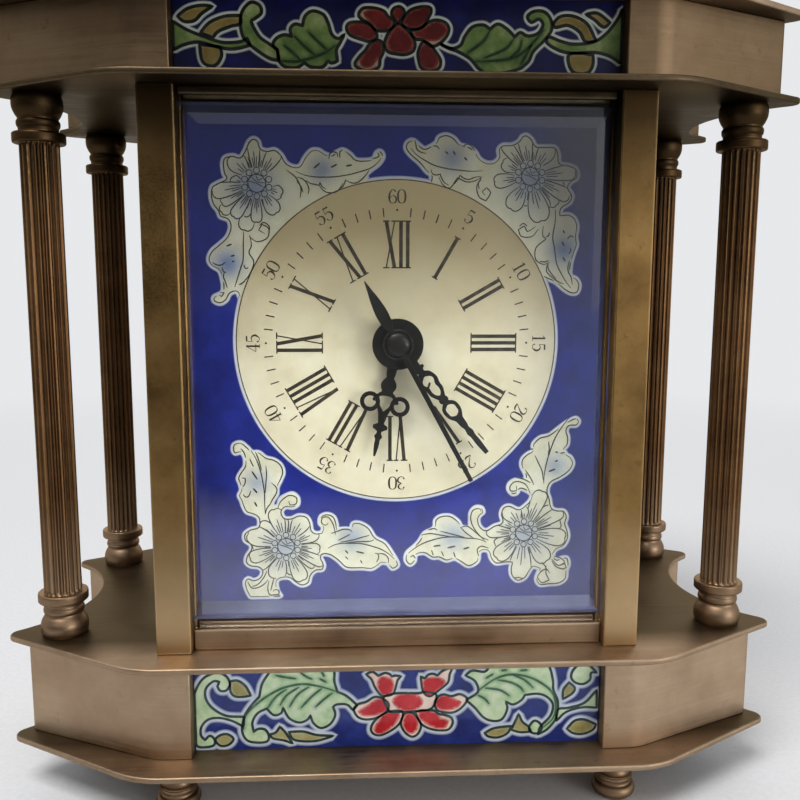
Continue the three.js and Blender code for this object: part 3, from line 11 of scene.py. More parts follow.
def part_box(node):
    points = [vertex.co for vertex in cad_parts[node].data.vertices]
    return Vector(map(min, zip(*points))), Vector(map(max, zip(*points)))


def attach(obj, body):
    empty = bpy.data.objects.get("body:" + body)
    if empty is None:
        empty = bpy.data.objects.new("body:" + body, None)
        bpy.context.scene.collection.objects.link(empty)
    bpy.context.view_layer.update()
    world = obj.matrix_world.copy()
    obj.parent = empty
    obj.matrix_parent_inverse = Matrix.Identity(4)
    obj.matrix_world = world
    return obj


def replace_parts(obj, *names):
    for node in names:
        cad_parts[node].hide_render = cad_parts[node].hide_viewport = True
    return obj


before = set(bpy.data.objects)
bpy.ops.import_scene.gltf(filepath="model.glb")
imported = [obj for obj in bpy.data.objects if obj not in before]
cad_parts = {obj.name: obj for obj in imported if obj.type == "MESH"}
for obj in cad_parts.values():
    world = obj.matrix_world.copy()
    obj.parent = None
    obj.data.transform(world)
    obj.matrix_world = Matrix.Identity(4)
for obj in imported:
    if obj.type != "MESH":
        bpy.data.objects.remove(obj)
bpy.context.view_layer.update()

# Sizes of the case, in millimetres; a tier is the bottom and the height of its walls
MM = 0.001
TIERS = {"base": (11.7, 20.7), "top": (142.1, 15.0)}
PLATE_THICKNESS = 1.2
PLATE_ROUND = 0.35
PLATE_INSET = 0.02
PLATE = dict(front=41.5, corner_x=51, corner_radius=18, ear_x=77.8, ear_y=22.9, ear_radius=2.2, waist=69)
PLATE_LEVELS = {}
for tier, (bottom, height) in TIERS.items():
    PLATE_LEVELS[f"{tier}_lower_plate"] = bottom - PLATE_THICKNESS
    PLATE_LEVELS[f"{tier}_upper_plate"] = bottom + height
DECK = PLATE_LEVELS["base_upper_plate"] + PLATE_THICKNESS
ROOF = PLATE_LEVELS["top_upper_plate"] + PLATE_THICKNESS
WALL = dict(front=35, corner_x=48.5, corner_radius=10, ear_x=75.3, ear_y=20.6, ear_radius=1.8, waist=65.5)
WALL_THICKNESS = 1.2
WALL_END_X = 41.3
WALL_END_Y = 30.1
WALL_ROUND = 0.25
SOLID_ROUND = 0.35
PANEL_FRONT = -31.6
HALF_PANEL = 41.1
FOOT_X = 45
FOOT_Y = 31
COLUMN_X = 69
COLUMN_Y = 22.6
COLUMN_HEIGHT = PLATE_LEVELS["top_lower_plate"] - DECK
COLUMN_END = 9
SHAFT_RADIUS = 3.68
FLUTES = 20
FLUTE_DEPTH = 0.42
FLUTE_SHARE = 0.78
FLUTE_RUNOUT = 0.8
RUNOUT_LEVELS = (0, 0.15, 0.4, FLUTE_RUNOUT)
FLUTE_SIDES = 9
SHAFT_PARTS = 6

# Sizes of the handle
PIVOT_Z = 164.3
HANDLE_RISE = 27
HANDLE_SHOULDER = 0.55 * HANDLE_RISE
HANDLE_PULL = 1.3
HANDLE_GRIP_HALF = 15
HANDLE_BEND = 7
HANDLE_HOLD = 0.5
HANDLE_BAR_RADIUS = 1.9
HANDLE_EYE_RADIUS = 3
HANDLE_EYE_BORE = 1.4
HANDLE_EYE_ROUND = 0.5
HANDLE_EYE_X = (25.6, 30)
PIN_RADIUS = 1.3
PIN_ROUND = 0.2
EAR_X = (30.2, 33.6)
EAR_RADIUS = 3.2
EAR_CHEEK = 0.8
EAR_ROUND = 0.45
EAR_FOOT_RADIUS = 4.6
EAR_FOOT_HEIGHT = 1.6

# Sizes of the dial and of its hands; enamel is bedded a little into the face that it stands proud of
BEDDED = 0.03
PANEL_PROUD = dict(halo=0.05, leaf=0.1, bud=0.1, petal=0.12, red=0.15, vein=0.16, line=0.18)
DIAL_PROUD = dict(disc=0.12, rim=0.05, spray=0.08, spray_rim=0.04, spray_line=0.14, ink=0.17)
DIAL_FRONT = -20
DIAL_Z = 93.4
PAN_FRONT = -28.15
PAN_WALL = 0.6
PAN_BEDDED = 0.1
DISC_RADIUS = 32.84
DISC_SIDES = 160
DISC_LINE_RADIUS = DISC_RADIUS - 0.2
DISC_SHADE = 0.16
DISC_SHADE_RISE = 26
DISC_SHADE_TOP = 0.95
DISC_BANDS = ((DISC_RADIUS, DISC_SIDES), (24, 72), (14, 48), (2.6, 32))
NUMERAL_INNER = 15.25
NUMERAL_OUTER = 24.5
FIGURE_INNER = 27.9
FIGURE_HEIGHT = 2.9
FIGURE_PITCH = 0.62 * FIGURE_HEIGHT
TICK_INNER = 25.4
TICK_OUTER = 27.2
TICK_WIDTH = 0.24
DOT_RADIUS = 0.22
DOT_REACH = TICK_OUTER - 0.5
HAND_THICKNESS = 0.6
HAND_EDGE = 0.12
MINUTE_EDGE = 0.14
HOUR_BACK = -21.8
MINUTE_BACK = -23.7
SECONDS_BACK = -25.6
HUB_RADIUS = 5.15
HOUR_HUB_RADIUS = 4.75
HOUR_BORE = 2.55
MINUTE_BORE = 1.65
CAP_RADIUS = 3.1
HOUR_ANGLE = 191.711
MINUTE_ANGLE = 140.53
SECONDS_ANGLE = 151.8

# Drawings on the enamel, in millimetres from the panel's lower middle or the dial's centre.
# A bar after a point leaves a sharp corner there; an indented line goes on with the row above.
# A flower is its heart, and then each petal's tip and half width.
BASE_DRAWING = """
leaf -41.5,5.8 -41.6,8.8 -41,12.4 -39.3,15.3 -36.6,16.5 -34.7,15.7 -34,14 -34.8,12.7 -36,12.7 -36.5,13.6|
 -36.1,14.6 -37.3,14.7 -38.8,13.2 -38.9,11.1 -37.6,9 -34.9,7.3 -31.3,7| -31.5,4.9 -33.8,6.2 -36.3,6.9
 -38.5,6.6 -39.9,5.1 -40.1,3.3 -39.3,2.2| -38.3,3.1 -37.4,2.3 -37.5,1.1 -38.9,0.7 -40.8,0.9 -41.3,2.7
leaf -29,1.4 -30.9,2 -31.8,4 -31.3,7 -29.9,9.3 -28.2,11.2| -27.6,13.9 -26.2,16.2 -24.8,18.3| -22,20
 -18.2,20.5 -14.9,19.3 -13.2,16.8 -13.1,14.1 -12.5,11.9| -10.6,10.9 -8.5,8.9| -9.4,7.9 -10.6,9.1 -12.6,9.2
 -13.4,8.7| -13,6.9 -14,5 -15.9,4.2 -17.4,5.3 -18,7| -18.7,6 -20.3,5.5 -22.3,6.5 -23.5,8.8| -23.9,7.6
 -25.3,7.2 -26.5,8.3 -26.7,8.7| -28.6,7.7 -29.7,5.8 -29.5,3.7| -28.6,4.3 -27.3,4.2 -26.5,3 -26.8,1.6
vein -31.5,4.3 -31.1,7 -29.4,9.1 -26.6,11.3 -23.3,13 -19.4,13.7 -15.6,13 -12.5,11.9
vein -22.7,12.7 -24.9,11.1 -26.6,8.7
vein -20.2,13.1 -22.7,11.4 -24.1,9.3
vein -18.2,13.1 -20.5,11.5 -22.2,8.9
vein -15.6,12.7 -17.8,10.9 -19.9,8.6
vein -13.5,11.7 -15.3,10.3 -17,8.7
vein -24.9,15.7 -22.7,15.2 -20.8,14.9
vein -19.9,16.2 -18.6,15.2 -17.5,14.7
vein -16.1,14.8 -14.7,14
vein -15.8,16.6 -15.1,15.2
bud -34,14.6 -32.4,14.7 -30.9,13.5 -29.9,11.5| -31.4,11.3 -33,11.4 -33.9,12.4
bud -37.2,2.2 -36.1,3.2 -34.7,3.3 -33.6,2.3 -34.5,1.1 -36.2,0.9
bud -26.3,3.1 -25.1,3.4 -24.2,4.7| -23.1,3.4 -21.7,1| -23.4,1.7 -25.6,2.2
bud -22.4,3.5 -19.5,3.5 -16.8,2.7 -13.4,2.4| -16.5,1.5 -19.3,1.4 -21.5,1.9
leaf 13.7,9.5 16.1,11.2 15.5,13.5 13.5,14.8| 14.9,15.8 17.4,15.5 18.4,16.6| 21,18.8 24.6,20.3 28.3,19.3
 30.6,16.5 31.5,13.5 31.7,11.2 32.7,8.6 32.4,5.2 30.7,2.8 28.7,1.6| 29.2,3.3 31.2,5.6 31.7,8 30.5,9.7
 28.5,10.5 25.8,10.3| 25.1,9.2 23.4,8.3 21.9,9| 22.2,7.3 21.2,5.2 19.4,4.8 17.4,5.6 15.5,7.8
vein 16.1,11.4 19.4,13.8 22.7,14.8 26.4,14.2 29.6,12.5 31.7,10.3 32.3,7.4 31.6,4.9 29.5,3
vein 17.5,12 20.6,11.5 22.6,10.2
vein 20.1,13.7 22.8,13.1 24.8,12 25.5,11
vein 23,14.8 25.6,13.6 27.5,11.8
vein 16.1,10.5 17.5,9.7 18.4,8.6
vein 17.7,14.1 19.2,15
vein 20.8,15.7 22,15.8
vein 24.7,15.6 26.2,15.7
leaf 26.8,3.2 27.8,4.6 28.9,4.2 29.5,3.1 28.7,1.9 27.3,2.1
bud 23.1,2.8 23.9,4.5 24.6,6.2| 25.4,4.5 26.7,3.4| 27.3,2.3 25,2.2
bud 17.6,2.2 19.6,3.2 23.1,3.6| 22.4,2.1 20.5,1.2 18.5,1.4
bud 33.7,9.2 33.8,11.3 34.9,12.8| 36.1,11.6 35.6,10.4
leaf 35.3,14 35.7,15.5 37.1,16.7 38.8,16.5 40.6,14.8| 39.4,14.8 39.2,13.3 37.8,12.4 36.1,12.8
leaf 32.6,6.9 35.1,7.3 38.2,8.3 40.7,11| 40.8,7.2| 37.7,7.3 34.5,6.4 32.5,4.5
bud 34.7,2.7 36.3,4.4 38.3,4.6 40.8,3.5| 40.1,2.3 38.1,1.5 36.1,1.7
petal -6.7,15.5 -5.4,16 -4.2,15.1| -3.7,15.4 -2.8,15.7 -1.9,15.4 -1.5,14.9| -0.8,15.1 0.4,14.9| -0.3,14.1
 -0.8,12.2 -1.4,11.1 -2.8,10.8 -3.8,11.1 -4.9,12.7 -5.6,14.4
red -4.2,13.6 -3.7,14.6 -2.6,14.6 -1.6,14.1 -1.4,12.6 -1.9,11.5 -3,11.2 -3.9,11.9
petal 4.4,14.8 5.2,14.4 5.9,15.1 6.9,15.3 7.8,14.9| 8.7,15.8 10.1,16.4 10.8,16.3| 10.3,15.2 10,13.5
 8.9,12.4 7.5,11.3 6.3,10.5 5.2,11.1 4.7,12.3 4.5,13.8
red 5,13.8 6.1,14.3 7.7,14.3 9,13.8 8.9,12.8 7.5,11.8 6.3,10.7 5.3,11.1 5,12.5
petal -3.2,10.3 -2.1,11.1 0.2,11.3 4,11.2 5.2,11.5 7.5,10.9 7.3,8.9 6.3,7.7 4.2,7.4 0.6,7.3 -1.7,7.3
 -2.6,8.6
petal -9.2,8 -8.4,9.1 -6.7,9.6 -4.9,10.6 -3.1,10.1 -2.1,8.8 -2.8,7.2 -4.7,6.1 -6.7,5.8 -8.4,6.4
red -8.1,7.6 -6.5,8.5 -4.7,9.8 -3,9.9 -2.2,8.8 -3.3,7.4 -5.4,6.9 -7.2,6.9
petal 7.3,9.1 7.9,10.3 9.1,10.8 10.7,10.4 12.3,10.8 13.6,10.2 13.9,9.4 12.7,7.8 11.1,6.9 9.1,7 7.7,7.6
red 7.5,8.9 8.2,10.1 9.7,10.4 11.3,9.6 12.5,9 11.6,8.1 9.7,7.7 8.1,8
petal -5.7,4 -4.9,5.5 -3.3,6.9 -1.5,7.5 0.6,7.4 0.6,5.8 -0.3,4.3 -2.1,3 -4,2.3 -5.4,2.8
red -4.9,3.6 -4,5.3 -2.6,7 -0.8,7.4 -0.1,6.6 -0.8,5.1 -2.4,3.5 -4,2.8
petal 3.3,7.1 4.3,7.5 7,7.4 8.1,6.6 9.2,6.4 10.6,5.8 11,4.6 10.1,3.2 7.9,3.1 5.8,3.7 4.3,4.9
red 4.2,7.1 6.3,7.2 7.9,6.4 8.4,5.6 9.9,5 9.2,3.8 7.4,3.9 5.6,4.9 4.3,6.1
petal 0.4,5.2 1.1,6.8 2.4,7.1 3.6,6.1 4.5,4.4 4,2.6 2.8,1.8 1.5,2.5 0.6,3.9
red 1,5.2 1.7,6.6 2.7,6.6 3.6,5.2 3.5,3.6 2.4,2.8 1.3,3.8
red -1.1,9.7 -0.1,10.7 1.8,11.1 3.6,10.6 4.6,9.4 3.7,8.2 1.8,7.7 -0.1,8.3
"""
TOP_DRAWING = """
leaf -41.2,10.2| -38.6,8.7 -35.4,7.5 -32.2,6.6 -29,6.8 -27.8,7.4| -27.3,6.2 -30.4,5.5 -33.3,5.8 -36.5,6.6
 -39.2,6.1 -41.3,5.1|
leaf -28.4,7.4 -29,10.1 -28.5,12.2 -27,13.6 -25.5,13.1 -25.2,11.8 -26.4,10.8| -27,10.2 -25.7,7.8 -23.9,6.5
 -22.4,5.5| -22.1,3.6 -23.9,4 -26.3,5.5
leaf -22.4,5.3| -23.2,6.4 -22.4,7.6 -21,8.1 -19.8,7.8| -20,9.2 -19.1,10 -17.8,9.7| -17.3,11.4 -15.9,12.3
 -14,11.7 -13.1,10.1 -12.5,8.3 -11.3,7.6 -10.2,8.4| -11.1,6.7 -11.7,5.6 -11.5,3.7| -12.6,3.3 -13.2,3.7|
 -14.3,2.6 -16.4,2.6 -17.5,3.3| -19,2.4 -20.9,2.5 -22.1,3.5
vein -22.1,3.6 -19.1,3.5 -16.1,4.2 -13.4,5.3 -11.9,6.4
vein -21.2,6.3 -19.6,5 -18.3,3.8
vein -19.3,7.9 -17.4,6.1 -15.5,4.6
vein -16.8,8.7 -15.2,7.2 -13.4,5.6
bud -36.2,8.2 -34.5,10 -31.8,11.1 -28.9,11.3| -29,9.9 -30.8,9.4 -33,8.5 -34,7.4|
bud -40.2,11 -38.4,12.3 -36,12.9 -33.9,12.8| -35.8,11.6 -37.2,10.3 -39,10.1
bud -36.4,6.2| -34.6,6 -32.7,5.8| -32.5,4.3 -33.4,2.8 -34.7,2.5 -36,3.4
leaf 7.2,7 9.4,6.2 11.1,6.8 11.9,8.4 13.2,10 15.2,10.4 16.5,9.7| 17.9,10.6 19.6,9.8 21.1,8.4| 22.1,9.2
 23.5,8.6 25.4,9.1 26.3,10.6 25.5,11.6 24.1,11 23.4,12 24.5,12.9 26.4,12.9 27.7,11.6 27.9,9.7 26.5,7.8
 24.6,5.9 23.8,4.2 22.5,3| 20.8,2.4 18.9,2 16.1,1.8 14.4,2.8| 12.8,4.5 10.5,5.7 8.9,6.2
vein 13.9,4 16.9,4.1 20.5,4.6 22.7,5.7 24.6,7.5 26.5,9.7
vein 16.5,9.5 15.2,7.5 12.3,5.4
vein 21,8.2 19.4,6.3 15.5,4.6
vein 22.4,7.9 21.9,6.1 20.2,4.6
vein 24.3,7.2 23.3,5.3 22.2,3.4
leaf 27.5,8.5 29.6,7.8 32.1,7.3 35.7,7.7 38.2,9.3 40.3,12 41,13.7| 41.4,3.8| 38.9,5.3 36,5.9 32.1,5.7
 29.3,6.2 27.1,7.5
bud 28.1,10.8 29.5,12.1 31.9,12.2 34.5,10.9 36.3,7.9| 34.3,7.8 33.1,9.5 30.9,10.6 28.7,10.2
bud 34.2,12.6 36.4,12.8 38.8,11.2| 37.6,10.4 35.8,11.7
bud 31.3,5.4 33.5,5.7 35.8,5.4| 35.8,3.6 34.8,2.2 32.5,2.2 31.4,3.5
petal -1.6,12.1 -1.2,13 -0.3,13.3 0.5,12.9 0.7,12 0.1,11.1 -0.5,10.4 -1.1,11.2
red -1.2,12.1 -1,12.7 -0.3,12.9 0.3,12.6 0.3,12 -0.2,11.3 -0.7,11.4
petal -7.6,11.8 -6.8,12.9 -4.8,13 -3,12.5 -2.3,11.6 -1.2,10.8 -1.4,9.7 -2.6,9.1 -4.6,9.2 -5.5,10.2 -7,11
red -6.4,12 -5,12.3 -3.1,11.9 -1.9,10.7 -2.3,9.6 -3.7,9.4 -5.3,10.8
petal 0.3,10.3 0.7,11.5 1.8,12.7 3.5,13.3 5.3,13.3 5.6,12.5 4.9,11.1 4.2,9.9 3,9.5 1.4,9.6
red 0.8,10.6 1.8,12 3.6,12.8 5.2,12.9 4.8,11.5 3.7,10.3 2,10
petal -9.8,9.7 -9.1,10.4 -7,10.5 -5.4,9.9 -4.6,9 -4.3,7.9 -5.6,7.2 -7,7.5 -8.9,8.1 -9.6,8.8
red -9.1,9.5 -7.4,10.2 -5.5,9.6 -4.6,8.6 -5.6,7.8 -7.4,8.2 -8.8,8.6
petal 1.7,9.2 3.4,9.5 5.2,10.7 6.6,11.1 8.2,10.7 8.9,9.6 8.4,8.2 7,6.9 5.5,6.5 4.1,7.6 2.7,7.8
red 2.8,8.7 4.7,9.5 6.4,10.5 7.7,10.1 8.1,9.2 6.8,8 5.1,7.9 3.7,8.3
petal -8.3,3.3 -7.4,4.6 -6.4,5.6 -5.6,6.7 -4.3,7.4 -3.3,7 -3.1,5.5 -3.7,4.2 -4,2.7 -6,2 -7.7,2.5
red -7,3.9 -6,5.2 -4.8,6.7 -3.7,6.8 -3.7,5.4 -4.6,4.2 -5.6,3.1 -6.7,3.1
petal 3.3,5.5 4.1,7.2 5.3,6.9 6.3,5.8 7.4,4.1 7.1,2.7 5.4,2.1 3.9,2.7 3.4,4.1
red 3.8,5.5 4.7,6.6 5.7,5.8 6.6,4.1 6,3 4.6,3 3.8,4.1
petal -2.9,6.8 -2.3,8.5 -1.3,9.7 -0.3,10.3 0.8,9.6 2,8.4 2.7,6.9 2.3,5.6 0.8,5 -0.9,5.1 -2.3,5.5
red -2,6.8 -1.4,8.6 -0.5,9.5 0.8,8.8 1.8,7.4 1.7,6 0.4,5.6 -1.2,5.7
"""
